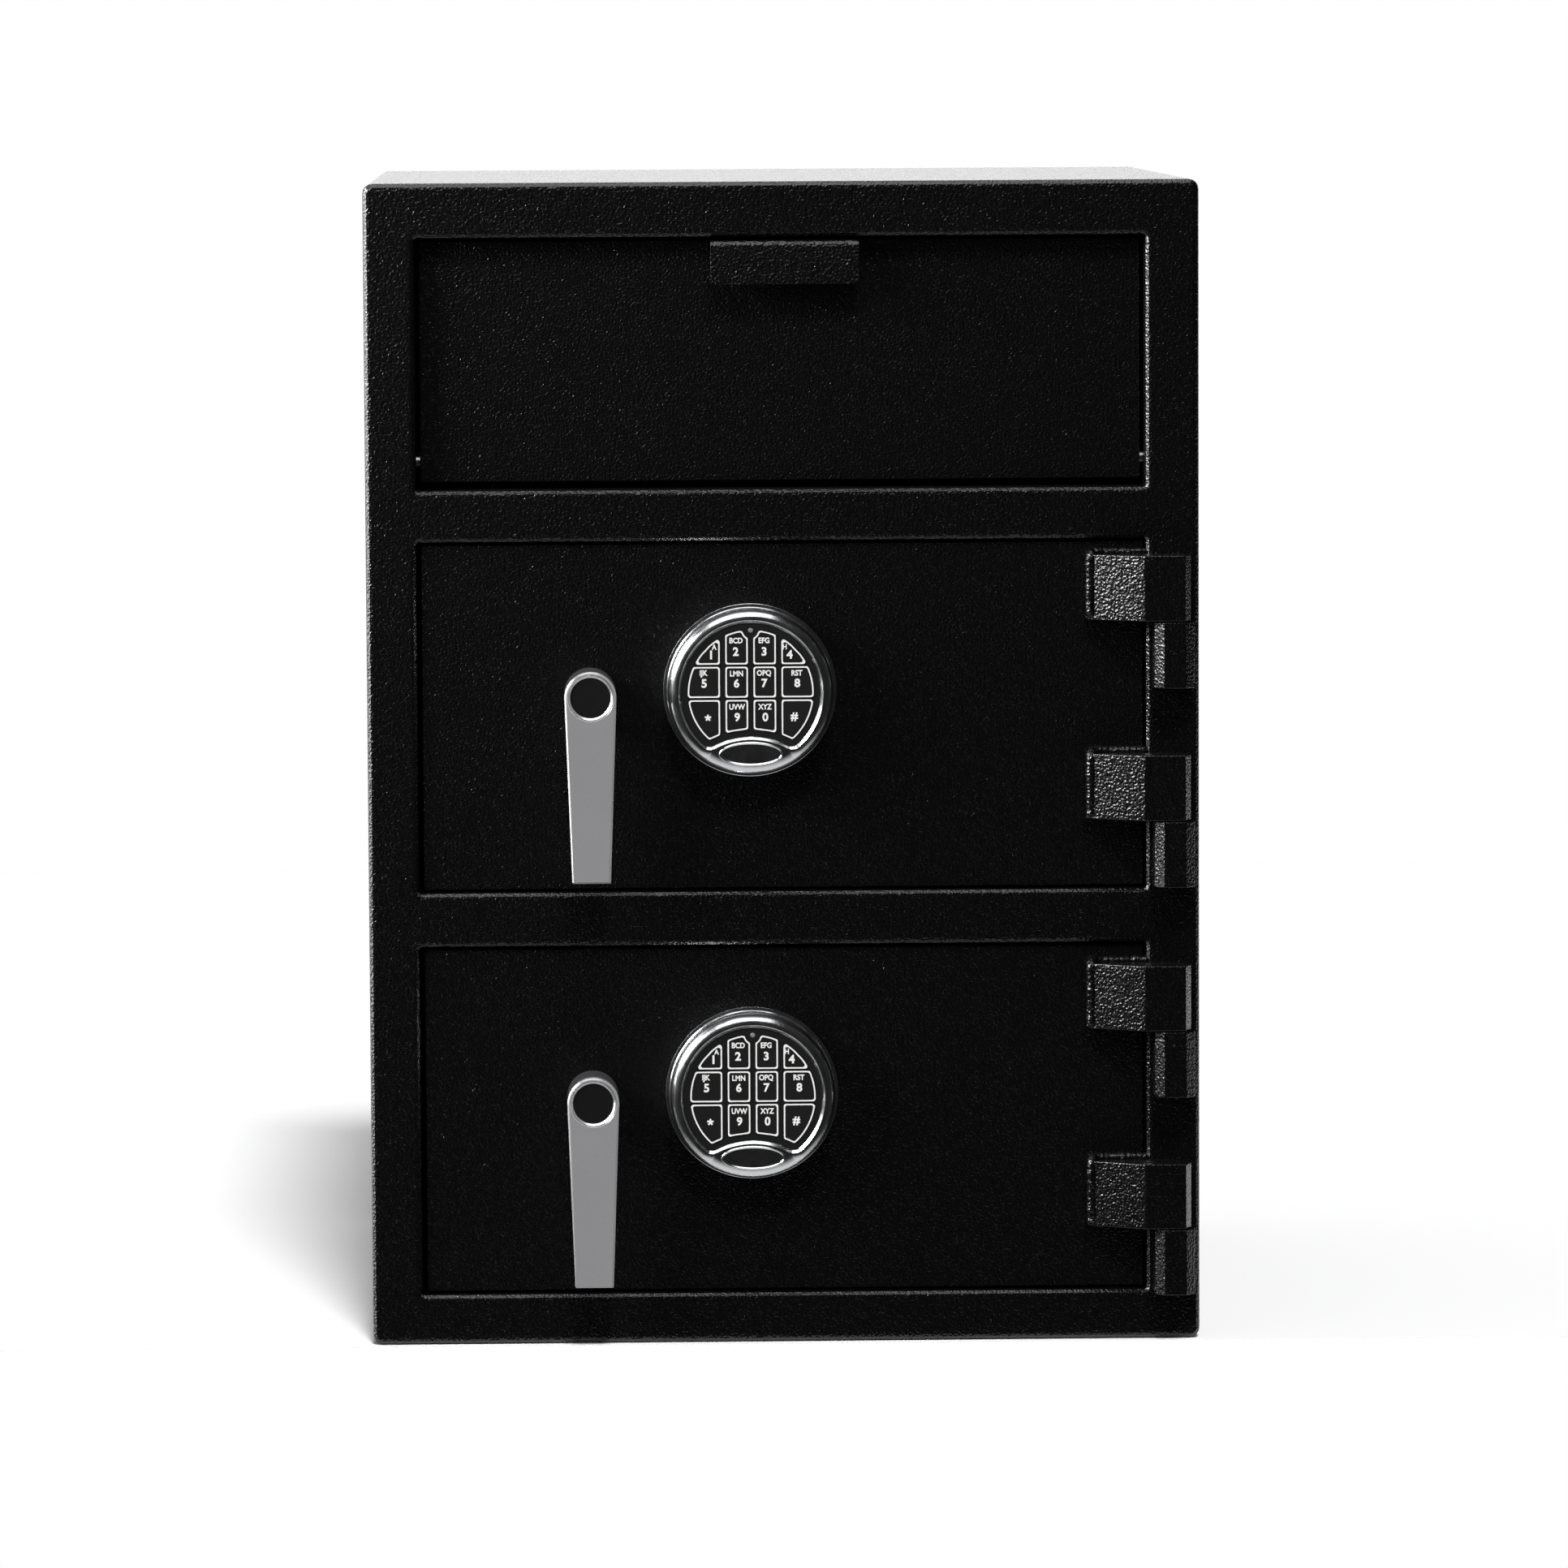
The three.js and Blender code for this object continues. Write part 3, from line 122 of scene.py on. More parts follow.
# Handle
HANDLE_SIDES = 72
LEVER_HEAD_STEPS = 64
LEVER_FOOT_STEPS = 4
LEVER_HEAD_RADIUS = 15.75 * MM
LEVER_BORE_RADIUS = 12.35 * MM
LEVER_END_WIDTH = 23.4 * MM
LEVER_FOOT_ROUND = 0.8 * MM
LEVER_EDGE = 1.0 * MM
LEVER_RIM = 1.1 * MM
LEVER_RIM_SUNK = 0.05 * MM
HUB_NECK_RADIUS = 12.05 * MM
HUB_RECESS = 1.3 * MM
HUB_ROUND = 0.6 * MM
HUB_SMOOTH_ANGLE = math.radians(50)
HUB_GAP = 0.3 * MM
HUB_OVERLAP = 0.5 * MM
HUB_SOCKET_RADIUS = 6.3 * MM
HUB_SOCKET_DEPTH = 22.3 * MM

# Hinges: corners of the frame's plain knuckles and straps, and where the finished ones have them, as x, y,
# new x and new y in millimetres
KNUCKLE_MOVES = (
    (220.5, -269.5, 225.1, -271.9), (220.5, None, 225.1, None), (228.5, None, 230.7, None),
    (241.7, None, 243.9, None), (247.7, None, 249.7, None),
)
STRAP_MOVES = ((241.7, None, 243.6, None),)

# A strap's weld, in millimetres: across from the strap's free end, out from the door's face, and up from
# the strap's foot or from its top
WELD_FROM_FOOT = ((2.9, -9.4, 0.5), (2.9, -9.4, 20))
WELD_FROM_TOP = ((2.9, -9.4, -1.9), (3.3, -6.4, 0), (4.4, -2.4, 0.6), (6.9, -2.2, 0.6), (9.9, -1.2, 0.6))
WELD_END_GAP = 4 * MM

# A weld's bead: the distance between its rings, how steeply a ripple rises, its thickness between ripples
# as a share of its radius, the width of its unevenness, and the share of its length over which an end
# thins, with the share left
WELD_STEP = 0.55 * MM
WELD_STEEPNESS = 0.6
WELD_THICKNESS = 0.9
WELD_WANDER = 7 * MM
WELD_TAPER = (0.03, 0.25)
WELD_SIDES = 16
WELD_SEEDS = {"upper_top": 5.0, "upper_bottom": 3.0, "lower_top": 10.0, "lower_bottom": 8.0}

# Keypad, round its centre. "Out" counts from the door's face. In millimetres, the crest is (outwards,
# drop), the foot is (radius, out), and the badge's rim is (share of its width, drop).
KEYPAD_OUT = 24.5 * MM
KEYPAD_SIDE_OUT = 18 * MM
KEYPAD_RADIUS = 50.4 * MM
KEYPAD_DOME = (5.2 * MM, 9.5 * MM)
KEYPAD_DOME_GAP = 0.4 * MM
KEYPAD_STAR = 4 * MM
KEYPAD_RAYS = 240
KEYPAD_FIELD_RADIUS = 42.4 * MM
KEYPAD_BEVEL = 1.5 * MM
KEYPAD_BEVEL_OUT = 22.6 * MM
KEYPAD_FACE_OUT = 22.5 * MM
KEYPAD_FACE_BACK = 19.3 * MM
KEYPAD_FLOOR_OUT = 18.8 * MM
KEYPAD_CREST = ((0, 0.35), (0.25, 0.06))
KEYPAD_FOOT = ((50.4, 3.1), (50.8, 2.7), (52.3, 2.6), (52.8, 2.35), (53, 1.8), (53, 0.3))
KEYPAD_FACE_EDGE = 0.25 * MM
KEYPAD_FIELD_GAP = 0.05 * MM
KEYPAD_DOME_STEPS = 14
KEYPAD_ARCH_RADIUS = 49.9 * MM
KEYPAD_ARCH_CENTRE = -76.8 * MM
KEYPAD_CUSP_ROUND = 3.2 * MM
BADGE_HEIGHT = -37.4 * MM
BADGE_HALF = (17.4 * MM, 5.3 * MM)
BADGE_RIM = 2.2 * MM
BADGE_OUT = 25 * MM
BADGE_RIM_SHAPE = (
    (0, 3), (0, 1.35), (0.3, 0.6), (0.55, 0.2), (0.75, 0.05), (0.9, 0.2), (1.05, 0.7), (1.15, 3))
BADGE_PLAY = 0.1 * MM
BADGE_SUNK = 1.4 * MM
BADGE_WALL = 1.2 * MM
BADGE_CROWN = 0.35 * MM
BADGE_CROWN_RINGS = (0.85, 0.6, 0.3)
BADGE_STEPS = 96
LAMP_HEIGHT = 37.9 * MM
LAMP_RADIUS = 1.5 * MM
LAMP_RAISE = 0.5 * MM
LAMP_STEPS = 6
LAMP_SIDES = 32

# Keys, round the keypad's centre
KEY_DISC_RADIUS = 38.4 * MM
KEY_WIDTH = 14 * MM
KEY_COLUMN_GAP = 3.05 * MM
KEY_ROW_TOP = 16 * MM
KEY_ROW_BOTTOM = -3.1 * MM
KEY_ROW_GAP = 1.1 * MM
KEY_ARCH_RADIUS = 54.2 * MM
KEY_LAMP_RADIUS = 4.6 * MM
KEY_ROUND = 1.2 * MM
KEY_RAYS = 160
KEY_OUT = 23.2 * MM
KEY_BACK_OUT = 20 * MM
KEY_EDGE = 0.15 * MM
KEY_HOLE_GAP = 0.2 * MM
PRINT_RAISE = 0.05 * MM
PRINT_BOLD = 0.05
CAPITAL_SIZE = 1.4
LETTERS_NARROWER = 0.88
STAR_REACH = 2 * MM
STAR_ARM = 1.1 * MM

# A place inside each key, in millimetres, from which its outline is found: by outer or inner column, then
# by row
KEY_INSIDES = (((23.5, 22), (26, 6), (25, -13)), ((8.5, 25), (8.5, 6), (8.5, -14)))

# Each key: its name, column, row, figure with its place, and letters with their place, in millimetres
KEYS = (
    ("1", 0, 0, "1", (-24.0, 23.2), "A", (-22.1, 27.9)),
    ("2", 1, 0, "2", (-9.0, 25.1), "BCD", (-8.8, 31.8)),
    ("3", 2, 0, "3", (8.2, 25.1), "EFG", (8.2, 31.8)),
    ("4", 3, 0, "4", (23.7, 23.2), "H", (20.8, 27.9)),
    ("5", 0, 1, "5", (-28.3, 5.8), "IJK", (-28.5, 11.7)),
    ("6", 1, 1, "6", (-8.6, 5.8), "LMN", (-8.6, 11.7)),
    ("7", 2, 1, "7", (8.4, 5.8), "OPQ", (8.1, 11.7)),
    ("8", 3, 1, "8", (28.3, 5.8), "RST", (28.1, 11.9)),
    ("star", 0, 2, "*", (-26.1, -15.2), "", (0, 0)),
    ("9", 1, 2, "9", (-8.3, -14.9), "UVW", (-8.3, -8.6)),
    ("0", 2, 2, "0", (8.8, -14.9), "XYZ", (8.6, -8.6)),
    ("hash", 3, 2, "#", (26.4, -14.9), "", (0, 0)),
)


def linear(code):
    """An sRGB hex colour as the linear colour that Blender's sockets take."""
    parts = [int(code[at:at + 2], 16) / 255 for at in (1, 3, 5)]
    return (*[p / 12.92 if p <= 0.04045 else ((p + 0.055) / 1.055) ** 2.4 for p in parts], 1.0)


def length_setting(name, description, default):
    """A length that a user can change."""
    return bpy.props.FloatProperty(name=name, description=description, default=default, unit="LENGTH")


def colour_setting(name, description, code):
    """A colour that a user can change."""
    return bpy.props.FloatVectorProperty(
        name=name, description=description, subtype="COLOR", size=4, min=0, max=1, default=linear(code))


class SafeSizes(bpy.types.PropertyGroup):
    """Sizes of the details that stand on the frame's pieces."""

    weld_radius: length_setting("Weld radius", "Radius of the bead that holds each hinge strap", 3.3 * MM)
    weld_ripple: length_setting("Weld ripple", "Distance from one ripple of the bead to the next", 3.4 * MM)
    key_line: length_setting("Key line", "Width of the line printed round each key", 0.9 * MM)
    figure_height: length_setting("Figure height", "Height of the figure on each key", 5.4 * MM)
    letter_height: length_setting("Letter height", "Height of the letters above each figure", 3.3 * MM)
    grain: length_setting("Coat grain", "Width of one pebble of the powder coat", 1.5 * MM)


class SafeColours(bpy.types.PropertyGroup):
    """Colours of the finishes."""

    coat: colour_setting("Powder coat", "Colour of the textured powder coat", "#060607")
    lever: colour_setting("Lever", "Colour of the satin lever", "#b2b2b4")
    chrome: colour_setting("Chrome", "Colour of the keypad's bright ring", "#dcdddf")
    keypad: colour_setting("Keypad", "Colour of the keypad's face and keys", "#1b1b1c")
    figures: colour_setting("Key print", "Colour of the figures and lines on the keys", "#fafaf8")


# Nodes

def add(tree, kind, inputs=None, **settings):
    """Adds a node to a tree, with its settings, and with its inputs set or linked."""
    node = tree.nodes.new(kind)
    for name, value in settings.items():
        setattr(node, name, value)
    for name, value in (inputs or {}).items():
        socket = node.inputs[name]
        if isinstance(value, bpy.types.NodeSocket):
            tree.links.new(value, socket)
        else:
            socket.default_value = value
    return node


def material(name, shader):
    """A material by name, made on its first use by a function that returns its shader's settings."""
    found = bpy.data.materials.get(name)
    if found:
        return found
    made = bpy.data.materials.new(name)
    made.use_nodes = True
    tree = made.node_tree
    tree.nodes.clear()
    surface = add(tree, "ShaderNodeBsdfPrincipled", shader(tree))
    add(tree, "ShaderNodeOutputMaterial", {"Surface": surface.outputs["BSDF"]})
    return made


def noise(tree, width, detail, distortion=0.0):
    """Noise over the object, with features of a real width in metres."""
    place = add(tree, "ShaderNodeTexCoord").outputs["Object"]
    wanted = {"Vector": place, "Scale": 1 / width, "Detail": detail, "Distortion": distortion}
    return add(tree, "ShaderNodeTexNoise", wanted).outputs["Fac"]


def spread(tree, value, low, high, clip=(0.3, 0.7), **settings):
    """A value, as a rule noise, stretched over another range."""
    wanted = {"Value": value, "From Min": clip[0], "From Max": clip[1], "To Min": low, "To Max": high}
    return add(tree, "ShaderNodeMapRange", wanted, **settings).outputs["Result"]


def worked(tree, value, *steps):
    """A value after steps of arithmetic, each an operation and its other number."""
    for operation, other in steps:
        value = add(tree, "ShaderNodeMath", {0: value, 1: other}, operation=operation).outputs[0]
    return value


def shaded(tree, factor, colour, darker):
    """A colour that noise darkens by up to a share of itself."""
    dark = [part * (1 - darker) for part in colour[:3]] + [1.0]
    mixed = add(tree, "ShaderNodeMix", {"Factor": factor}, data_type="RGBA")
    mixed.inputs[6].default_value = dark
    mixed.inputs[7].default_value = colour
    return mixed.outputs[2]


def raised(tree, height, depth, normal=None):
    """The normal of a surface that a height between 0 and 1 raises by up to a depth in metres."""
    wanted = {"Height": height, "Distance": depth, "Strength": 1.0}
    if normal:
        wanted["Normal"] = normal
    return add(tree, "ShaderNodeBump", wanted).outputs["Normal"]


def powder_coat():
    """Black polyester powder coat, sprayed dry and baked. The melt draws up into hard little pebbles, so
    light breaks into bright grains on a nearly black ground."""
    def shader(tree):
        grain = bpy.context.scene.safe_sizes.grain
        pebbles = spread(tree, noise(tree, grain, 0.2, 0.15), 0, 1)
        dust = spread(tree, noise(tree, grain / 3, 0.0), 0, 1)
        cloud = noise(tree, 60 * MM, 3.0)
        coarse = raised(tree, pebbles, 0.24 * MM)
        return {
            "Base Color": shaded(tree, cloud, chosen("coat"), 0.25),
            "Roughness": spread(tree, dust, 0.2, 0.3),
            "Specular IOR Level": 0.5,
            "Normal": raised(tree, dust, 0.03 * MM, coarse),
        }
    return material("Powder coat, black polyester, textured", shader)


def grained(name, colour, darker, cloud, grain, roughness, depth=0.0, metallic=0.0):
    """A material whose colour darkens in clouds and whose grain sets its roughness and relief. Cloud and
    grain are (width, noise detail)."""
    def shader(tree):
        skin = noise(tree, *grain)
        settings = {
            "Base Color": shaded(tree, noise(tree, *cloud), colour, darker),
            "Metallic": metallic,
            "Roughness": spread(tree, skin, *roughness),
        }
        if depth:
            settings["Normal"] = raised(tree, skin, depth)
        return settings
    return material(name, shader)


def chosen(name):
    """One of the colours that a user can change."""
    return tuple(getattr(bpy.context.scene.safe_colours, name))


def satin_lever():
    """Die-cast zinc under silver lacquer, satin. The lacquer scatters most of the light, so it stays an
    even pale grey, and only its edges flash."""
    return grained("Die-cast zinc, satin silver lacquer", chosen("lever"), 0.06, (25 * MM, 2.0),
                   (0.5 * MM, 2.0), (0.2, 0.28), 0.01 * MM, 0.35)


def turned_edge_painted_highlight():
    """The same zinc where a lathe has cut its edge bright, with fine turning marks. Its colour is set almost
    white so the ring shows as an even bright line all round, which is partly a painted highlight.
    """
    return grained("Zinc, turned bright", linear("#fbfbfb"), 0.05, (5 * MM, 2.0), (0.3 * MM, 1.0),
                   (0.25, 0.35), 0.01 * MM, 0.8)


def barrel_lacquer():
    """Die-cast zinc under thin dark lacquer, satin: the light slides along it as a soft grey band."""
    return grained("Die-cast zinc, satin dark lacquer", linear("#58585a"), 0.15, (10 * MM, 2.0),
                   (0.7 * MM, 2.0), (0.32, 0.42), 0.015 * MM, 0.5)


def hub_plastic():
    """Moulded black nylon with an eroded mould finish: matt, with a fine even tooth."""
    return grained("Nylon, moulded black", linear("#121213"), 0.2, (12 * MM, 2.0), (0.6 * MM, 1.0),
                   (0.3, 0.4), 0.03 * MM)


def keypad_plastic():
    """ABS with a fine spark finish: a soft dark sheen that shows no pattern from a step away."""
    return grained("ABS, moulded black", chosen("keypad"), 0.15, (15 * MM, 2.0), (0.35 * MM, 1.0),
                   (0.3, 0.4), 0.01 * MM)


def key_print():
    """Pad-printed white ink: opaque, a little uneven where the pad lifted."""
    return grained("Ink, pad-printed white", chosen("figures"), 0.06, (1.5 * MM, 2.0), (0.4 * MM, 1.0),
                   (0.45, 0.6))


def cast_zinc():
    """Die-cast zinc, tumbled and left bare: dull grey with a soft skin."""
    return grained("Zinc, die-cast and tumbled", linear("#8b8e92"), 0.2, (20 * MM, 3.0), (1.6 * MM, 3.0),
                   (0.4, 0.55), 0.02 * MM, 0.9)


def bright_chrome():
    """Chromium plate over polished zinc: a mirror, with the faintest ripple of the buffing under it."""
    def shader(tree):
        return {
            "Base Color": shaded(tree, noise(tree, 18 * MM, 2.0), chosen("chrome"), 0.04),
            "Metallic": 1.0,
            "Roughness": spread(tree, noise(tree, 9 * MM, 3.0), 0.16, 0.22),
            "Normal": raised(tree, noise(tree, 6 * MM, 0.0), 0.02 * MM),
        }
    return material("Chromium plate, polished", shader)


def lamp_lens():
    """Clear-tinted acrylic over an unlit lamp: a small pale grey dome."""
    def shader(tree):
        return {
            "Base Color": shaded(tree, noise(tree, 1 * MM, 1.0), linear("#8a8b8c"), 0.2),
            "Roughness": 0.25,
        }
    return material("Acrylic, moulded grey", shader)


def zinc_plate():
    """Clear zinc plate on turned and cut steel: pale, slightly blue, clouded where the bath ran off."""
    def shader(tree):
        cloud = noise(tree, 14 * MM, 4.0, 0.4)
        return {
            "Base Color": shaded(tree, cloud, linear("#b4b7bb"), 0.22),
            "Metallic": 1.0,
            "Roughness": spread(tree, cloud, 0.28, 0.45),
            "Normal": raised(tree, noise(tree, 0.8 * MM, 2.0), 0.015 * MM),
        }
    return material("Steel, clear zinc plated", shader)


# Each finish of a whole piece: the name of its slot in the frame, and the function that makes its material
COATED = ("black_powder_coat", powder_coat)
PLATED = ("plated_steel", zinc_plate)
CAST = ("lock_grey", cast_zinc)


# Outlines in a plane. They run anticlockwise.

def arc(centre, radius, start, end, steps):
    """Points on an arc, angles in degrees, both ends included."""
    angles = [math.radians(start + (end - start) * step / steps) for step in range(steps + 1)]
    return [Vector((centre[0] + radius * math.cos(a), centre[1] + radius * math.sin(a))) for a in angles]


def circle(centre, radius, steps):
    """A full circle."""
    return arc(centre, radius, 0, 360, steps)[:-1]


def rectangle(low, high, radius, steps=6):
    """A rectangle with round corners."""
    corners = ((high[0] - radius, low[1] + radius, -90), (high[0] - radius, high[1] - radius, 0),
               (low[0] + radius, high[1] - radius, 90), (low[0] + radius, low[1] + radius, 180))
    return [point for x, y, start in corners for point in arc((x, y), radius, start, start + 90, steps)]


def normals(loop, at):
    """The inward normals of the two edges that meet at a point of a loop."""
    here = loop[at]
    before = (here - loop[at - 1]).normalized()
    after = (loop[(at + 1) % len(loop)] - here).normalized()
    return Vector((-before.y, before.x)), Vector((-after.y, after.x))


def inset(loop, distance):
    """The loop moved inwards, or outwards by a negative distance."""
    moved = []
    for at, here in enumerate(loop):
        first, second = normals(loop, at)
        middle = (first + second).normalized()
        moved.append(here + middle * (distance / max(middle.dot(first), 0.5)))
    return moved


def swollen(loop, distance, steps=5):
    """The loop moved outwards, with its corners going round."""
    moved = []
    for at, here in enumerate(loop):
        first, second = normals(loop, at)
        turn = first.angle_signed(second) * -1
        if turn > CORNER_ANGLE:
            for step in range(steps + 1):
                bent = first.lerp(second, step / steps).normalized()
                moved.append(here - bent * distance)
        else:
            moved.append(here - (first + second).normalized() * distance)
    return moved


def region(centre, walls, corner, rays):
    """The outline of the region inside every wall, seen from its centre, with round corners. A wall is
    ("line", point, inward normal), ("inside", centre, radius) or ("outside", centre, radius)."""
    start = Vector(centre)
    loop = []
    for ray in range(rays):
        angle = TURN * ray / rays
        way = Vector((math.cos(angle), math.sin(angle)))
        reach = []
        for kind, place, size in walls:
            if kind == "line":
                closing = -way.dot(size)
                if closing > TINY:
                    reach.append(((start - place).dot(size) - corner) / closing)
                continue
            radius = size - corner if kind == "inside" else size + corner
            offset = start - place
            half = way.dot(offset)
            inside = half * half - offset.length_squared + radius * radius
            if inside < 0:
                continue
            root = math.sqrt(inside)
            if kind == "inside":
                reach.append(root - half)
            elif -half - root > 0:
                reach.append(-half - root)
        loop.append(start + way * min(reach))
    return swollen(thinned(loop), corner)


def thinned(loop):
    """The loop without the points that lie on a straight run."""
    kept = []
    for at, here in enumerate(loop):
        first, second = normals(loop, at)
        if abs(first.angle_signed(second)) > STRAIGHT_ANGLE:
            kept.append(here)
    return kept


# Meshes

def lift(flat, level, axis):
    """A point of a plane at a level along the axis across it: (x, z) for y and (y, z) for x."""
    a, b = flat
    return Vector((a, level, b)) if axis == "y" else Vector((level, a, b))


def ring(bm, loop, level, axis="y"):
    """A closed ring of new points."""
    return [bm.verts.new(lift(point, level, axis)) for point in loop]


def bridge(bm, first, second):
    """Quads between two rings of the same length."""
    count = len(first)
    for at in range(count):
        after = (at + 1) % count
        bm.faces.new((first[at], first[after], second[after], second[at]))


def stack(bm, loops):
    """Upright rings with quads between them, from (loop, level) pairs."""
    rings = [ring(bm, loop, level) for loop, level in loops]
    for first, second in zip(rings, rings[1:]):
        bridge(bm, first, second)
    return rings


def plate(bm, outer, low, high, holes=(), edge=0.0, steps=2):
    """An upright plate of any outline, with holes, whose front and back edges are rounded."""
    ends = ([], [])
    for loop, way in [(outer, 1)] + [(hole, -1) for hole in holes]:
        levels = []
        for step in range(steps + 1 if edge else 1):
            angle = math.pi / 2 * step / steps
            levels.append((edge * (1 - math.sin(angle)), low + edge * (1 - math.cos(angle))))
        levels += [(drawn, low + high - level) for drawn, level in reversed(levels)]
        rings = stack(bm, [(inset(loop, way * drawn) if drawn > TINY else loop, level)
                           for drawn, level in levels])
        ends[0].append(rings[0])
        ends[1].append(rings[-1])
    for rings in ends:
        if len(rings) == 1:
            bm.faces.new(rings[0])
            continue
        edges = [bm.edges.get((one[at], one[at - 1])) for one in rings for at in range(len(one))]
        bmesh.ops.triangle_fill(bm, use_beauty=True, use_dissolve=False, edges=edges)


def lathe(bm, profile, centre, steps, axis="y", closed=False):
    """A body turned round an axis through a centre. The profile gives (radius, level) points."""
    rings = []
    for radius, level in profile:
        if radius < TINY:
            rings.append([bm.verts.new(lift(centre, level, axis))])
        else:
            rings.append(ring(bm, circle(centre, radius, steps), level, axis))
    pairs = list(zip(rings, rings[1:])) + ([(rings[-1], rings[0])] if closed else [])
    for first, second in pairs:
        if len(first) == 1 and len(second) == 1:
            continue
        if len(first) == 1 or len(second) == 1:
            tip, rim = (first[0], second) if len(first) == 1 else (second[0], first)
            for at in range(steps):
                bm.faces.new((tip, rim[at - 1], rim[at]))
        else:
            bridge(bm, first, second)


def mesh_of(build):
    """A mesh from a function that fills a bmesh, with its faces outwards."""
    bm = bmesh.new()
    build(bm)
    bmesh.ops.remove_doubles(bm, verts=bm.verts, dist=MERGE)
    bmesh.ops.recalc_face_normals(bm, faces=bm.faces)
    mesh = bpy.data.meshes.new("part")
    bm.to_mesh(mesh)
    bm.free()
    return mesh


def settle(piece):
    """Turns the piece's modifiers into a plain mesh."""
    bpy.context.view_layer.update()
    evaluated = piece.evaluated_get(bpy.context.evaluated_depsgraph_get())
    mesh = bpy.data.meshes.new_from_object(evaluated)
    piece.modifiers.clear()
    piece.data = mesh


def put(name, data):
    """An object at the origin that shows a mesh or a lamp."""
    piece = bpy.data.objects.new(name, data)
    bpy.context.scene.collection.objects.link(piece)
    return piece


def joined(name, parts):
    """One object from (mesh, material) parts."""
    bm = bmesh.new()
    finishes = []
    for mesh, finish in parts:
        if finish not in finishes:
            finishes.append(finish)
        start = len(bm.faces)
        bm.from_mesh(mesh)
        bm.faces.ensure_lookup_table()
        for face in bm.faces[start:]:
            face.material_index = finishes.index(finish)
        bpy.data.meshes.remove(mesh)
    mesh = bpy.data.meshes.new(name)
    bm.to_mesh(mesh)
    bm.free()
    for finish in finishes:
        mesh.materials.append(finish)
    return put(name, mesh)


def smooth(piece, angle=SMOOTH_ANGLE):
    """Smooth shading that keeps sharp edges sharp and flats flat."""
    piece.data.shade_smooth()
    piece.data.set_sharp_from_angle(angle=angle)
    flats = piece.modifiers.new("Flats", "WEIGHTED_NORMAL")
    flats.keep_sharp = True
    flats.weight = 100
    settle(piece)


def install(piece, body, slot, *nodes):
    """Gives a finished piece its body and hides the nodes it stands for; the slot is not used."""
    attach(piece, body)
    if nodes:
        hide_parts(*nodes)


def finished(node, body, slot, parts, angle=SMOOTH_ANGLE):
    """A piece from (mesh, material) parts that stands for a CAD node."""
    piece = joined(node + "_finished", parts)
    smooth(piece, angle)
    install(piece, body, slot, node)


def softened(node, body, finish, width, steps, moves=()):
    """A piece like a CAD node, with its sharp edges rounded. Each move takes the corners that lie at one
    (x, y) to another, in millimetres, and None stands for any y."""
    slot, coat = finish
    bm = bmesh.new()
    bm.from_mesh(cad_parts[node].data)
    for vertex in bm.verts:
        for x, y, new_x, new_y in moves:
            if abs(vertex.co.x - x * MM) < CORNER_REACH and (
                    y is None or abs(vertex.co.y - y * MM) < CORNER_REACH):
                vertex.co.x = new_x * MM
                if y is not None:
                    vertex.co.y = new_y * MM
                break
    bmesh.ops.remove_doubles(bm, verts=bm.verts, dist=MERGE)
    bmesh.ops.dissolve_limit(
        bm, angle_limit=FLAT_ANGLE, use_dissolve_boundaries=False, verts=bm.verts, edges=bm.edges)
    mesh = bpy.data.meshes.new(node + "_finished")
    bm.to_mesh(mesh)
    bm.free()
    mesh.materials.append(coat())
    piece = put(node + "_finished", mesh)
    rounded(piece, width, steps, BEVEL_ANGLE)
    install(piece, body, slot, node)


def rounded(piece, width, steps, angle):
    """Rounds the edges that are sharper than an angle, and smooths the shading."""
    bevel = piece.modifiers.new("Edges", "BEVEL")
    bevel.width = width
    bevel.segments = steps
    bevel.angle_limit = angle
    settle(piece)
    smooth(piece)


def lettering(text, height, centre, level, narrower=1.0):
    """Bold figures or letters as a thin printed mesh that faces the front, scaled to a height."""
    curve = bpy.data.curves.new("lettering", "FONT")
    curve.body = text
    curve.size = height * CAPITAL_SIZE
    curve.offset = PRINT_BOLD * height
    curve.extrude = PRINT_RAISE / 2
    curve.resolution_u = 4
    holder = bpy.data.objects.new("lettering", curve)
    bpy.context.scene.collection.objects.link(holder)
    bpy.context.view_layer.update()
    mesh = bpy.data.meshes.new_from_object(holder.evaluated_get(bpy.context.evaluated_depsgraph_get()))
    bpy.data.objects.remove(holder)
    across, up = ([vertex.co[axis] for vertex in mesh.vertices] for axis in (0, 1))
    size = height / (max(up) - min(up)) if len(text) == 1 else 1.0
    for vertex in mesh.vertices:
        x = (vertex.co.x - (min(across) + max(across)) / 2) * size * narrower
        z = (vertex.co.y - (min(up) + max(up)) / 2) * size
        vertex.co = (centre[0] + x, level - vertex.co.z, centre[1] + z)
    return mesh


# Geometry Nodes

def grower(name, inputs):
    """A new geometry tree with named inputs, each (name, socket type, default)."""
    tree = bpy.data.node_groups.new(name, "GeometryNodeTree")
    tree.interface.new_socket("Geometry", in_out="INPUT", socket_type="NodeSocketGeometry")
    for label, kind, default in inputs:
        socket = tree.interface.new_socket(label, in_out="INPUT", socket_type=kind)
        if default is not None:
            socket.default_value = default
    tree.interface.new_socket("Geometry", in_out="OUTPUT", socket_type="NodeSocketGeometry")
    return tree, add(tree, "NodeGroupInput").outputs


def ended(tree, geometry, finish):
    """Ends a tree with real geometry and its material."""
    real = add(tree, "GeometryNodeRealizeInstances", {"Geometry": geometry}).outputs[0]
    coated = add(tree, "GeometryNodeSetMaterial", {"Geometry": real, "Material": finish}).outputs[0]
    add(tree, "NodeGroupOutput", {"Geometry": coated})


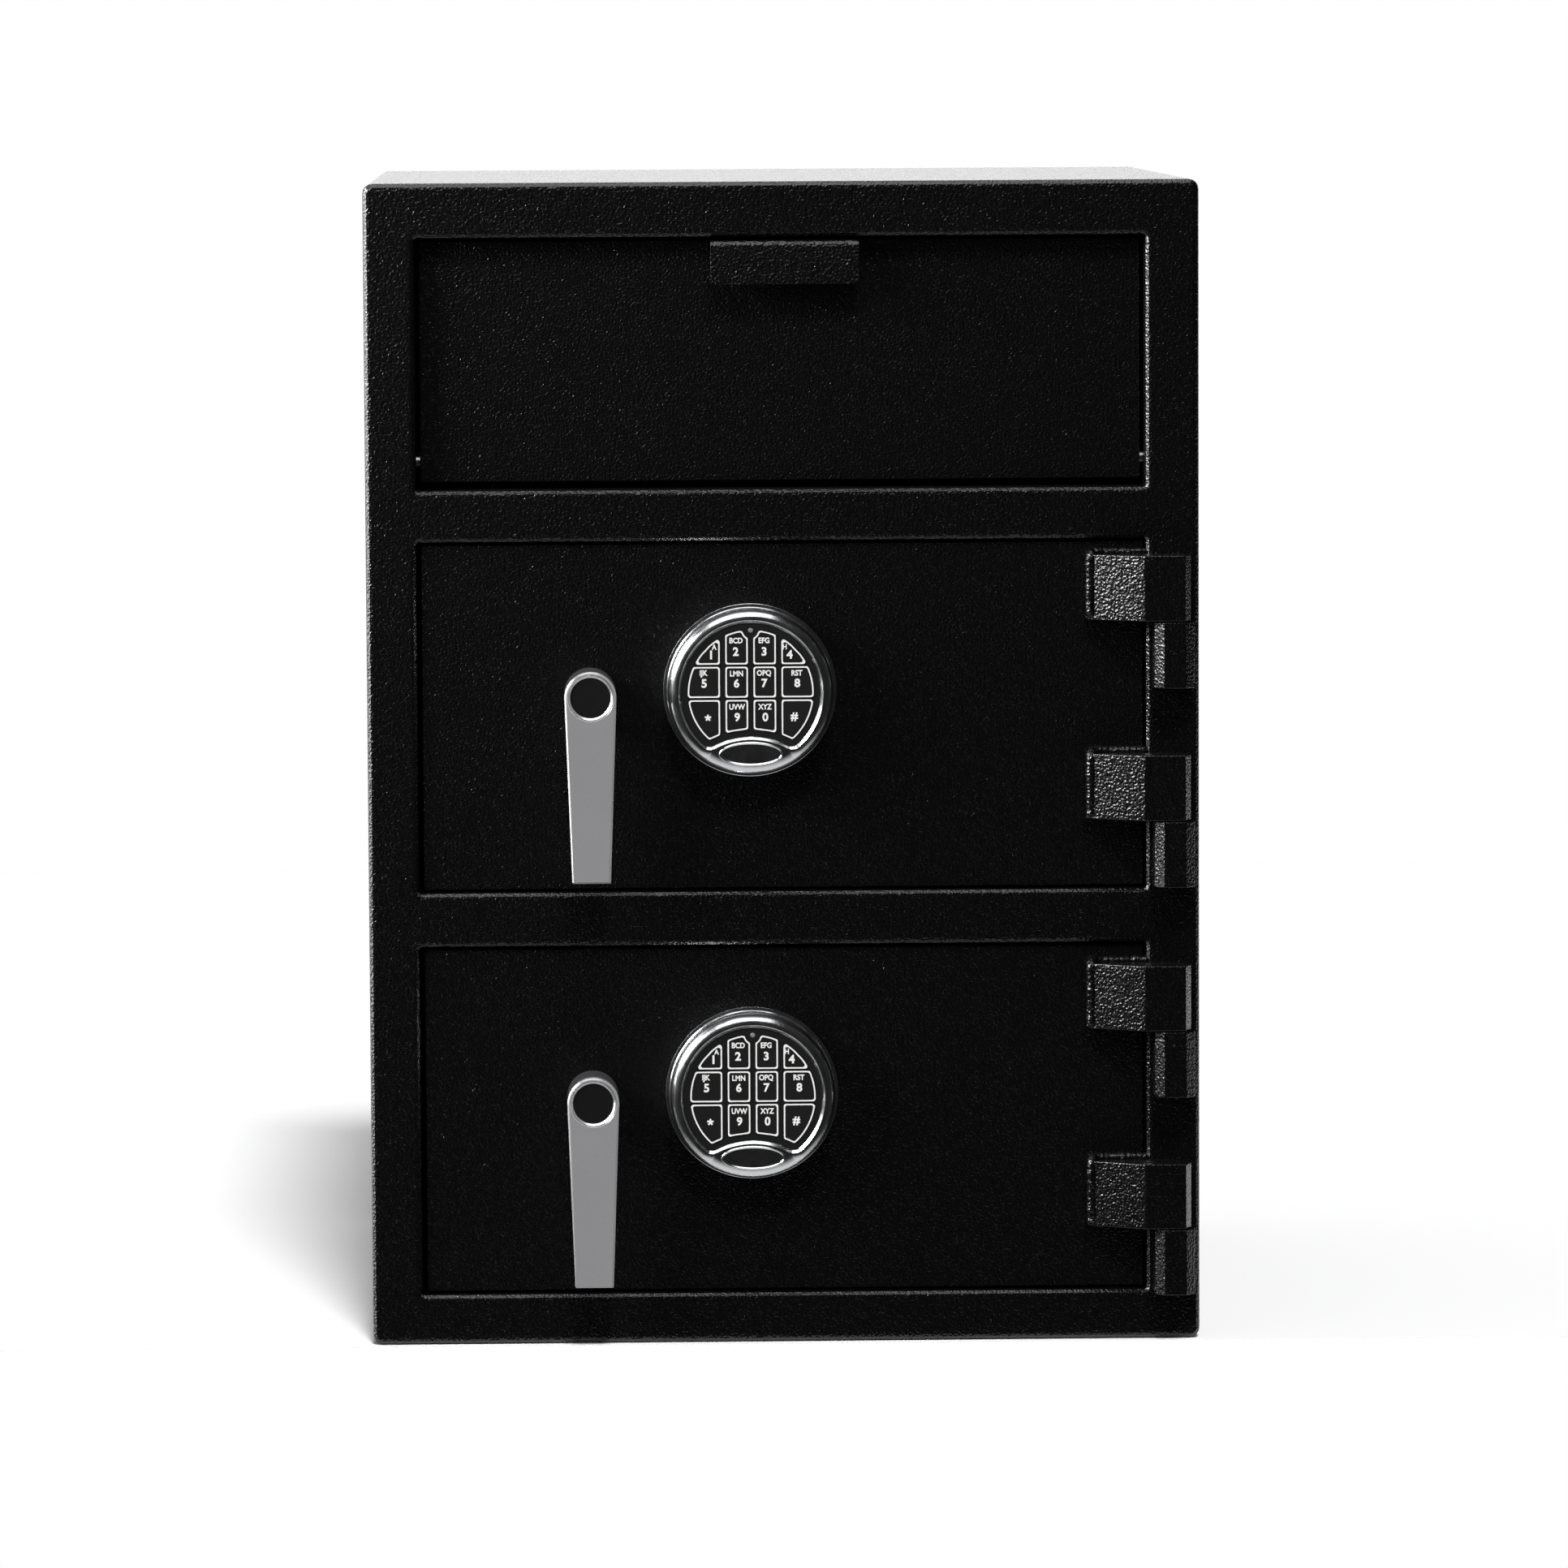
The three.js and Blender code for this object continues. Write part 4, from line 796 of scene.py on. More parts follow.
def grown(name, mesh, tree, values):
    """A plain object from a mesh that a geometry tree has worked on."""
    piece = put(name, mesh)
    modifier = piece.modifiers.new("Growth", "NODES")
    modifier.node_group = tree
    for item in tree.interface.items_tree:
        if item.item_type == "SOCKET" and item.in_out == "INPUT" and item.name in values:
            modifier[item.identifier] = values[item.name]
    settle(piece)
    return piece


def weld_tree():
    """A weld bead along an edge path: ripples one after another, thinning out at both ends."""
    found = bpy.data.node_groups.get("Weld bead")
    if found:
        return found
    tree, given = grower("Weld bead", (
        ("Radius", "NodeSocketFloat", 3.3 * MM),
        ("Ripple", "NodeSocketFloat", 3.4 * MM),
        ("Ripple depth", "NodeSocketFloat", 0.09),
        ("Unevenness", "NodeSocketFloat", 0.35),
        ("Seed", "NodeSocketFloat", 3.0),
        ("Finish", "NodeSocketMaterial", None),
    ))
    path = add(tree, "GeometryNodeMeshToCurve", {"Mesh": given["Geometry"]}).outputs[0]
    path = add(tree, "GeometryNodeResampleCurve", {"Curve": path, "Length": WELD_STEP},
               mode="LENGTH").outputs[0]
    along = add(tree, "GeometryNodeSplineParameter").outputs
    wave = worked(tree, along["Length"], ("DIVIDE", given["Ripple"]), ("FRACT", 0.0),
                  ("POWER", WELD_STEEPNESS),
                  ("MULTIPLY", given["Ripple depth"]))
    rough = add(tree, "ShaderNodeTexNoise", {"W": given["Seed"], "Scale": 1 / WELD_WANDER, "Detail": 2.0},
                noise_dimensions="4D").outputs["Fac"]
    from_middle = worked(tree, along["Factor"], ("SUBTRACT", 0.5), ("ABSOLUTE", 0.0))
    thinning, left = WELD_TAPER
    taper = spread(tree, from_middle, left, 1.0, (0.5, 0.5 - thinning), interpolation_type="SMOOTHSTEP")
    radius = worked(tree, spread(tree, rough, -0.5, 0.5), ("MULTIPLY", given["Unevenness"]), ("ADD", wave),
                    ("ADD", WELD_THICKNESS), ("MULTIPLY", taper))
    profile = add(tree, "GeometryNodeCurvePrimitiveCircle", {
        "Resolution": WELD_SIDES, "Radius": given["Radius"]})
    bead = add(tree, "GeometryNodeCurveToMesh", {
        "Curve": path, "Profile Curve": profile.outputs["Curve"], "Scale": radius, "Fill Caps": True})
    smoothed = add(tree, "GeometryNodeSetShadeSmooth", {"Geometry": bead.outputs["Mesh"]})
    ended(tree, smoothed.outputs[0], given["Finish"])
    return tree


def fastener_tree():
    """One fastener stood on each point of a mesh."""
    found = bpy.data.node_groups.get("Fasteners")
    if found:
        return found
    tree, given = grower("Fasteners", (
        ("Pattern", "NodeSocketObject", None),
        ("Finish", "NodeSocketMaterial", None),
    ))
    pattern = add(tree, "GeometryNodeObjectInfo", {"Object": given["Pattern"]}).outputs["Geometry"]
    placed = add(tree, "GeometryNodeInstanceOnPoints", {
        "Points": given["Geometry"], "Instance": pattern}).outputs[0]
    ended(tree, placed, given["Finish"])
    return tree


def screws(name, node, inset_by, radius, body, columns=2):
    """Button-head screws with a hexagon socket on the back of a CAD node, in a row along its top and one
    along its foot."""
    low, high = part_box(node)
    left, right = low.x + inset_by, high.x - inset_by
    places = [(left + (right - left) * column / (columns - 1), high.y - SCREW_SUNK, z)
              for column in range(columns) for z in (low.z + inset_by, high.z - inset_by)]
    height = radius * SCREW_HEIGHT

    def head(bm):
        socket = circle((0, 0), radius * SCREW_SOCKET, 6)
        plate(bm, circle((0, 0), radius, SCREW_SIDES), 0, height * SCREW_SHANK, holes=[socket])
        crown = [(radius * share, height * rise) for share, rise in SCREW_CROWN]
        lathe(bm, crown, (0, 0), SCREW_SIDES, closed=True)

    points = bpy.data.meshes.new("places")
    points.from_pydata(places, [], [])
    pattern = put("screw_pattern", mesh_of(head))
    made = grown(name, points, fastener_tree(), {"Pattern": pattern, "Finish": zinc_plate()})
    bpy.data.objects.remove(pattern)
    smooth(made, SCREW_SMOOTH_ANGLE)
    install(made, body, "plated_steel")


# Operators

class SAFE_OT_cabinet(bpy.types.Operator):
    """Builds the welded cabinet: shell, front frame and divider shelf"""

    bl_idname = "safe.cabinet"
    bl_label = "Cabinet"

    def execute(self, context):
        edges = {"body_shell": SHELL_EDGE, "front_frame": FRAME_EDGE, "divider_shelf": SHELF_EDGE}
        for node, edge in edges.items():
            softened(node, "cabinet", COATED, edge, 3)
        return {"FINISHED"}


class SAFE_OT_hopper(bpy.types.Operator):
    """Builds the deposit hopper: panel, tray with its studs, and the hood behind it"""

    bl_idname = "safe.hopper"
    bl_label = "Deposit hopper"

    def execute(self, context):
        softened("hopper_hood", "cabinet", COATED, HOOD_EDGE, 1)
        softened("hopper_tray", "hopper", COATED, TRAY_EDGE, 2)
        low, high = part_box("hopper_panel")
        outline = rectangle((low.x, low.z), (high.x, high.z), PANEL_CORNER)
        finished("hopper_panel", "hopper", "black_powder_coat", [
            (mesh_of(lambda bm: plate(bm, outline, low.y, high.y, edge=PANEL_EDGE, steps=3)), powder_coat())])
        self.sleeves((high.y + SLEEVE_BEHIND, low.z + SLEEVE_UP))
        return {"FINISHED"}

    def sleeves(self, centre):
        """Bright sleeves on the two pivot studs, which show in the gaps beside the panel."""
        low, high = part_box("hopper_tray")
        from_end, near_end = SLEEVE_ENDS
        neck = SLEEVE_RADIUS - SLEEVE_BEVEL

        def build(bm):
            for end, way in ((low.x, 1), (high.x, -1)):
                inner, outer, bevel = end + way * from_end, end + way * near_end, way * SLEEVE_BEVEL
                profile = [(0, inner), (neck, inner), (SLEEVE_RADIUS, inner - bevel),
                           (SLEEVE_RADIUS, outer + bevel), (neck, outer), (0, outer)]
                lathe(bm, profile, centre, SLEEVE_SIDES, axis="x")

        sleeves = joined("hopper_studs", [(mesh_of(build), zinc_plate())])
        smooth(sleeves)
        install(sleeves, "hopper", "plated_steel")


class SAFE_OT_pull(bpy.types.Operator):
    """Builds the folded finger pull on the hopper panel"""

    bl_idname = "safe.pull"
    bl_label = "Finger pull"

    def execute(self, context):
        low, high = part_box("hopper_pull")
        bend, corner = PULL_BEND, PULL_CORNER
        fall = high.z - low.z - bend
        front = low.y + fall * math.tan(PULL_LEAN)
        shelf = high.y - front - bend
        curve = bend * math.pi / 2
        length = shelf + curve + fall
        half = (high.x - low.x) / 2
        middle = (high.x + low.x) / 2

        def place(along):
            """Where the strip is, in (y, z), at a length along it."""
            if along < shelf:
                return high.y - along, high.z
            if along < shelf + curve:
                angle = (along - shelf) / bend
                return front + bend - bend * math.sin(angle), high.z - bend + bend * math.cos(angle)
            down = along - shelf - curve
            return front - down * math.tan(PULL_LEAN), high.z - bend - down

        rows = [0, shelf / 2]
        rows += [shelf + curve * step / PULL_BEND_STEPS for step in range(PULL_BEND_STEPS + 1)]
        rows += [length - 2.5 * corner]
        rows += [length - corner + corner * math.sin(TURN / 4 * step / PULL_CORNER_STEPS)
                 for step in range(PULL_CORNER_STEPS + 1)]
        columns, vertices = PULL_COLUMNS, []
        for along in rows:
            over = max(0.0, along - (length - corner))
            reach = half - (corner - math.sqrt(max(0.0, corner * corner - over * over)))
            y, z = place(along)
            vertices += [(middle + reach * (2 * at / columns - 1), y, z) for at in range(columns + 1)]
        corners = (row * (columns + 1) + at for row in range(len(rows) - 1) for at in range(columns))
        faces = [(first, first + 1, first + columns + 2, first + columns + 1) for first in corners]
        mesh = bpy.data.meshes.new("pull")
        mesh.from_pydata(vertices, [], faces)
        mesh.materials.append(powder_coat())
        mesh.update()
        inward = mesh.polygons[-1].normal.y > 0
        pull = put("hopper_pull_finished", mesh)
        wall = pull.modifiers.new("Sheet", "SOLIDIFY")
        wall.thickness = PULL_SHEET
        wall.offset = 1 if inward else -1
        wall.use_even_offset = True
        settle(pull)
        rounded(pull, PULL_EDGE, 3, PULL_SHARP_ANGLE)
        install(pull, "hopper", "black_powder_coat", "hopper_pull")
        return {"FINISHED"}


class SAFE_OT_doors(bpy.types.Operator):
    """Builds the door plates with their guide bars, and the inner covers with their screws"""

    bl_idname = "safe.doors"
    bl_label = "Doors"

    def execute(self, context):
        for door in DOORS:
            body, cover = f"{door}_door", f"{door}_inner_pan"
            softened(f"{door}_door_plate", body, COATED, DOOR_EDGE, 2)
            softened(cover, body, COATED, COVER_EDGE, 3)
            screws(f"{door}_pan_screws", cover, COVER_SCREW_INSET, COVER_SCREW_RADIUS, body, 3)
        return {"FINISHED"}


class SAFE_OT_hinges(bpy.types.Operator):
    """Builds the lift-off hinges: knuckles on the frame, straps on the doors, and their weld beads"""

    bl_idname = "safe.hinges"
    bl_label = "Hinges"

    def execute(self, context):
        for door in DOORS:
            for place in ("top", "bottom"):
                softened(f"{door}_knuckle_{place}", "cabinet", COATED, HINGE_EDGE, 3, KNUCKLE_MOVES)
                softened(f"{door}_strap_{place}", f"{door}_door", COATED, HINGE_EDGE, 3, STRAP_MOVES)
                self.weld(door, place, context.scene.safe_sizes)
        return {"FINISHED"}

    def weld(self, door, place, sizes):
        """The bead up the strap's free end and along its top, on the door's face."""
        low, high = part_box(f"{door}_strap_{place}")
        paths = ((low.z, WELD_FROM_FOOT), (high.z, WELD_FROM_TOP))
        vertices = [(low.x + x * MM, DOOR_FACE + y * MM, base + z * MM)
                    for base, path in paths for x, y, z in path]
        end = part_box(f"{door}_door_plate")[1].x - WELD_END_GAP
        vertices.append((end, *vertices[-1][1:]))
        mesh = bpy.data.meshes.new("weld")
        mesh.from_pydata(vertices, [(at, at + 1) for at in range(len(vertices) - 1)], [])
        bead = grown(f"{door}_weld_{place}", mesh, weld_tree(), {
            "Radius": sizes.weld_radius, "Ripple": sizes.weld_ripple,
            "Seed": WELD_SEEDS[f"{door}_{place}"], "Finish": powder_coat()})
        install(bead, f"{door}_door", "black_powder_coat")


class SAFE_OT_handles(bpy.types.Operator):
    """Builds the lever handles, their hubs and the spindles with their cams"""

    bl_idname = "safe.handles"
    bl_label = "Handles"

    def execute(self, context):
        for door in DOORS:
            body, lever = f"{door}_handle", f"{door}_handle_lever"
            low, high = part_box(lever)
            centre = ((low.x + high.x) / 2, high.z - LEVER_HEAD_RADIUS)
            half, foot = LEVER_END_WIDTH / 2, LEVER_FOOT_ROUND
            taper = math.degrees(math.atan((LEVER_HEAD_RADIUS - half) / (centre[1] - low.z)))
            outline = arc(centre, LEVER_HEAD_RADIUS, -taper, 180 + taper, LEVER_HEAD_STEPS)
            outline += arc((centre[0] - half + foot, low.z + foot), foot, 180 + taper, 270, LEVER_FOOT_STEPS)
            outline += arc((centre[0] + half - foot, low.z + foot), foot, 270, 360 - taper, LEVER_FOOT_STEPS)
            rim = LEVER_BORE_RADIUS + LEVER_RIM
            bore, front, back = LEVER_BORE_RADIUS, low.y + LEVER_RIM_SUNK, high.y - LEVER_RIM_SUNK
            # The collar round the bore is turned zinc coloured almost white: partly a painted highlight that
            # shows as an even bright line all round.
            collar = [(bore, low.y + LEVER_RIM), (rim, front), (rim, back), (bore, back)]
            finished(lever, body, "satin_lever", [
                (mesh_of(lambda bm: plate(bm, outline, low.y, high.y, [circle(centre, rim, HANDLE_SIDES)],
                                          LEVER_EDGE, steps=1)), satin_lever()),
                (mesh_of(lambda bm: lathe(bm, collar, centre, HANDLE_SIDES, closed=True)),
                 turned_edge_painted_highlight())])
            self.hub(door, body, centre, low.y, high.y)
            softened(f"{door}_spindle_cam", body, PLATED, CAM_EDGE, 2)
        return {"FINISHED"}

    def hub(self, door, body, centre, lever_front, lever_back):
        """The hub: its black end shows in the lever's ring and its barrel stands behind the lever."""
        face, floor = DOOR_FACE - HUB_GAP, DOOR_FACE - HUB_SOCKET_DEPTH
        shoulder = lever_back + HUB_GAP
        end, root = lever_front + HUB_RECESS, shoulder + HUB_OVERLAP
        cap, part = HUB_ROUND, 0.2 * HUB_ROUND
        neck, wide = HUB_NECK_RADIUS, LEVER_HEAD_RADIUS
        front = [(0, end), (neck - cap, end), (neck - part, end + part), (neck, end + cap), (neck, root),
                 (0, root)]
        barrel = [(0, shoulder), (wide - cap, shoulder), (wide - part, shoulder + part),
                  (wide, shoulder + cap), (wide, face), (HUB_SOCKET_RADIUS, face),
                  (HUB_SOCKET_RADIUS, floor), (0, floor)]
        finished(f"{door}_handle_hub", body, "black_plastic", [
            (mesh_of(lambda bm: lathe(bm, front, centre, HANDLE_SIDES)), hub_plastic()),
            (mesh_of(lambda bm: lathe(bm, barrel, centre, HANDLE_SIDES)), barrel_lacquer()),
        ], HUB_SMOOTH_ANGLE)


class SAFE_OT_boltwork(bpy.types.Operator):
    """Builds the bolt carriages, each with its row of turned bolts"""

    bl_idname = "safe.boltwork"
    bl_label = "Boltwork"

    def execute(self, context):
        for door in DOORS:
            softened(f"{door}_bolt_carriage", f"{door}_boltwork", PLATED, BOLT_EDGE, 2)
        return {"FINISHED"}


class SAFE_OT_locks(bpy.types.Operator):
    """Builds the lock cases with their screws, and the lock bolts"""

    bl_idname = "safe.locks"
    bl_label = "Locks"

    def execute(self, context):
        for door in DOORS:
            body, case = f"{door}_door", f"{door}_lock_case"
            softened(case, body, CAST, LOCK_CASE_EDGE, 3)
            softened(f"{door}_lock_bolt", f"{door}_lock", PLATED, BOLT_EDGE, 2)
            screws(f"{door}_lock_screws", case, LOCK_SCREW_INSET, LOCK_SCREW_RADIUS, body)
        return {"FINISHED"}


def keypad_centre(door):
    """The centre of a door's keypad, in (x, z)."""
    low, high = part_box(f"{door}_keypad_bezel")
    return Vector(((low.x + high.x) / 2, (low.z + high.z) / 2))


def out(distance):
    """The level of something that stands out from the door's face."""
    return DOOR_FACE - distance


def field_outline(centre, gap=0.0):
    """The key field: a disc whose lower edge is an arch over the badge."""
    arch = centre + Vector((0, KEYPAD_ARCH_CENTRE))
    walls = [("inside", centre, KEYPAD_FIELD_RADIUS - gap), ("outside", arch, KEYPAD_ARCH_RADIUS + gap)]
    return region(centre + Vector((0, KEYPAD_STAR)), walls, KEYPAD_CUSP_ROUND, KEYPAD_RAYS)


def key_outline(centre, column, row, gap=0.0):
    """One key's outline, grown by a gap."""
    side = -1 if column < 2 else 1
    inner = column in (1, 2)
    near = KEY_COLUMN_GAP / 2 + (0 if inner else KEY_WIDTH + KEY_COLUMN_GAP) - gap
    far = KEY_COLUMN_GAP / 2 + KEY_WIDTH + gap
    top = (None, KEY_ROW_TOP + gap, KEY_ROW_BOTTOM - KEY_ROW_GAP + gap)[row]
    bottom = (KEY_ROW_TOP + KEY_ROW_GAP - gap, KEY_ROW_BOTTOM - gap, None)[row]
    walls = [
        ("line", centre + Vector((side * near, 0)), Vector((side, 0))),
        ("inside", centre, KEY_DISC_RADIUS + gap),
        ("outside", centre + Vector((0, KEYPAD_ARCH_CENTRE)), KEY_ARCH_RADIUS - gap),
        ("outside", centre + Vector((0, LAMP_HEIGHT)), KEY_LAMP_RADIUS - gap),
    ]
    if inner:
        walls.append(("line", centre + Vector((side * far, 0)), Vector((-side, 0))))
    for height, way in ((top, -1), (bottom, 1)):
        if height is not None:
            walls.append(("line", centre + Vector((0, height)), Vector((0, way))))
    x, z = KEY_INSIDES[inner][row]
    return region(centre + Vector((side * x * MM, z * MM)), walls, KEY_ROUND, KEY_RAYS)


def asterisk(centre):
    """A star of five arms, the first straight up."""
    loop = []
    for arm in range(5):
        way = Vector((-math.sin(TURN * arm / 5), math.cos(TURN * arm / 5)))
        right = Vector((way.y, -way.x)) * STAR_ARM / 2
        notch = Vector((-math.sin(TURN * (arm + 0.5) / 5), math.cos(TURN * (arm + 0.5) / 5)))
        loop += [centre + way * STAR_REACH + right, centre + way * STAR_REACH - right,
                 centre + notch * STAR_ARM / 2 / math.sin(TURN / 10)]
    return loop


class SAFE_OT_keypads(bpy.types.Operator):
    """Builds the keypads: chromed ring, lip and bare badge, and the black field with its lamp"""

    bl_idname = "safe.keypads"
    bl_label = "Keypads"

    def execute(self, context):
        for door in DOORS:
            centre = keypad_centre(door)
            self.bezel(door, centre)
            self.face(door, centre)
        return {"FINISHED"}

    def bezel(self, door, centre):
        """The chromed ring: a bevel round the key field, a dome that widens below, a straight side and a
        foot. The bare badge stands on its lower part in a bevelled rim."""
        star = centre + Vector((0, KEYPAD_STAR))
        field = field_outline(centre)
        crest = inset(field, -KEYPAD_BEVEL)
        domes = []
        for point in crest:
            way = (point - star).normalized()
            offset = star - centre
            half = way.dot(offset)
            reach = math.sqrt(half * half - offset.length_squared + KEYPAD_RADIUS ** 2) - half
            narrow, wide = KEYPAD_DOME
            width = min(max(reach - (point - star).length - KEYPAD_DOME_GAP, narrow), wide)
            domes.append((star + way * (reach - width), way * width))
        levels = [(field, KEYPAD_FLOOR_OUT), (field, KEYPAD_BEVEL_OUT)]
        levels += [(inset(crest, -across * MM), KEYPAD_OUT - drop * MM) for across, drop in KEYPAD_CREST]
        for step in range(KEYPAD_DOME_STEPS + 1):
            angle = TURN / 4 * (1 - step / KEYPAD_DOME_STEPS)
            rise = KEYPAD_SIDE_OUT + (KEYPAD_OUT - KEYPAD_SIDE_OUT) * math.sin(angle)
            levels.append(([base + way * math.cos(angle) for base, way in domes], rise))
        ways = [(point - centre).normalized() * MM for point in levels[-1][0]]
        for radius, rise in KEYPAD_FOOT:
            levels.append(([centre + way * radius for way in ways], rise * MM))
        badge = centre + Vector((0, BADGE_HEIGHT))

        def oval(extra=0.0, share=1.0):
            half_width, half_height = (half * share + extra for half in BADGE_HALF)
            return [badge + Vector((half_width * math.cos(a), half_height * math.sin(a)))
                    for a in (TURN * step / BADGE_STEPS for step in range(BADGE_STEPS))]

        def capped(bm, loops):
            rings = stack(bm, [(loop, out(rise)) for loop, rise in loops])
            bm.faces.new(rings[0])
            bm.faces.new(rings[-1])

        def metal(bm):
            capped(bm, levels)
            rim = [(oval(BADGE_RIM * share), out(BADGE_OUT - drop * MM)) for share, drop in BADGE_RIM_SHAPE]
            stack(bm, rim + rim[:1])

        def shield(bm):
            top, wide = BADGE_OUT - BADGE_SUNK, oval(BADGE_PLAY)
            capped(bm, [(wide, top - BADGE_WALL), (wide, top)] + [
                (oval(0, share), top + BADGE_CROWN * (1 - share * share)) for share in BADGE_CROWN_RINGS])

        finished(f"{door}_keypad_bezel", f"{door}_door", "bright_chrome", [
            (mesh_of(metal), bright_chrome()), (mesh_of(shield), keypad_plastic())])

    def face(self, door, centre):
        """The black field with a hole for each key, and the lamp's lens."""
        holes = [key_outline(centre, column, row, KEY_HOLE_GAP) for _, column, row, *_ in KEYS]
        field = field_outline(centre, KEYPAD_FIELD_GAP)
        top, back = out(KEYPAD_FACE_OUT), out(KEYPAD_FACE_BACK)
        dome = [(LAMP_RADIUS * math.cos(a), top - LAMP_RAISE * math.sin(a))
                for a in (TURN / 4 * step / LAMP_STEPS for step in range(LAMP_STEPS))]
        lens = [(0, top + LAMP_RAISE), (LAMP_RADIUS, top + LAMP_RAISE)] + dome + [(0, top - LAMP_RAISE)]
        lens_place = centre + Vector((0, LAMP_HEIGHT))
        finished(f"{door}_keypad_face", f"{door}_door", "keypad_black", [
            (mesh_of(lambda bm: plate(bm, field, top, back, holes, KEYPAD_FACE_EDGE)), keypad_plastic()),
            (mesh_of(lambda bm: lathe(bm, lens, lens_place, LAMP_SIDES)), lamp_lens())])


class SAFE_OT_keys(bpy.types.Operator):
    """Builds the twelve keys of each keypad, with their printed lines, figures and letters"""

    bl_idname = "safe.keys"
    bl_label = "Keys"

    def execute(self, context):
        sizes = context.scene.safe_sizes
        for door in DOORS:
            centre = keypad_centre(door)
            for key in KEYS:
                self.key(door, centre, sizes, *key)
        return {"FINISHED"}

    def key(self, door, centre, sizes, name, column, row, figure, place, letters, letters_place):
        """One key, riding on its own button body."""
        outline, line, inner = (
            key_outline(centre, column, row, gap) for gap in (0, -KEY_EDGE, -KEY_EDGE - sizes.key_line))
        top = out(KEY_OUT)
        low, high = top - PRINT_RAISE, top + PRINT_RAISE
        spot = centre + Vector(place) * MM
        if figure == "*":
            printed = mesh_of(lambda bm: plate(bm, asterisk(spot), low, high))
        else:
            printed = lettering(figure, sizes.figure_height, spot, top - PRINT_RAISE / 2)
        parts = [
            (mesh_of(lambda bm: plate(bm, outline, top, out(KEY_BACK_OUT), edge=KEY_EDGE)), keypad_plastic()),
            (mesh_of(lambda bm: plate(bm, line, low, high, [inner])), key_print()), (printed, key_print())]
        if letters:
            parts.append((lettering(letters, sizes.letter_height, centre + Vector(letters_place) * MM,
                                    top - PRINT_RAISE / 2, LETTERS_NARROWER), key_print()))
        finished(f"{door}_key_{name}", f"{door}_button_{name}", "keypad_black", parts)


# Stage

FLOOR_LOW = (-2.2, -0.26)
FLOOR_HIGH = (2.2, 2.6)
CAMERA_PLACE = (-0.1402, -5.1241, 0.7921)
CAMERA_TURN = (85.1956, 0.3342, -1.2287)
CAMERA_LENS = 184.016
CAMERA_SHIFT = (0.04, -0.04)

# Softboxes, which only gloss sees: name, place, target, width, height, radiance
SOFTBOXES = (
    ("Left softbox", (-1.43, -0.78, 1.13), (0.2, -0.27, 0.45), 0.9, 0.73, 42.0),
    ("High softbox", (-0.3, -1.4, 1.95), (-0.1, -0.25, 0.65), 1.2, 0.5, 2.5),
    ("Side softbox", (-2.6, 0.5, 0.5), (0, -0.1, 0.35), 2.2, 1.6, 8.0),
    ("Overhead softbox", (-0.35, -0.65, 2.7), (-0.35, -0.65, 0), 2.2, 3.6, 2.4),
)
SUN_TILT = (0.08, -0.78, 1.0)
SUN_SPREAD = math.radians(10)
SUN_STRENGTH = 3.15

# What gloss sees of the room, by the direction's y or z: from where to where, and the strength at each
ROOM = (("Y", (-0.85, -0.4), (0.01, 0.02)), ("Y", (0.9, 0.98), (0.0, 2.2)), ("Z", (-0.5, -0.85), (0.0, 0.8)))
ROOM_DIFFUSE = 0.3


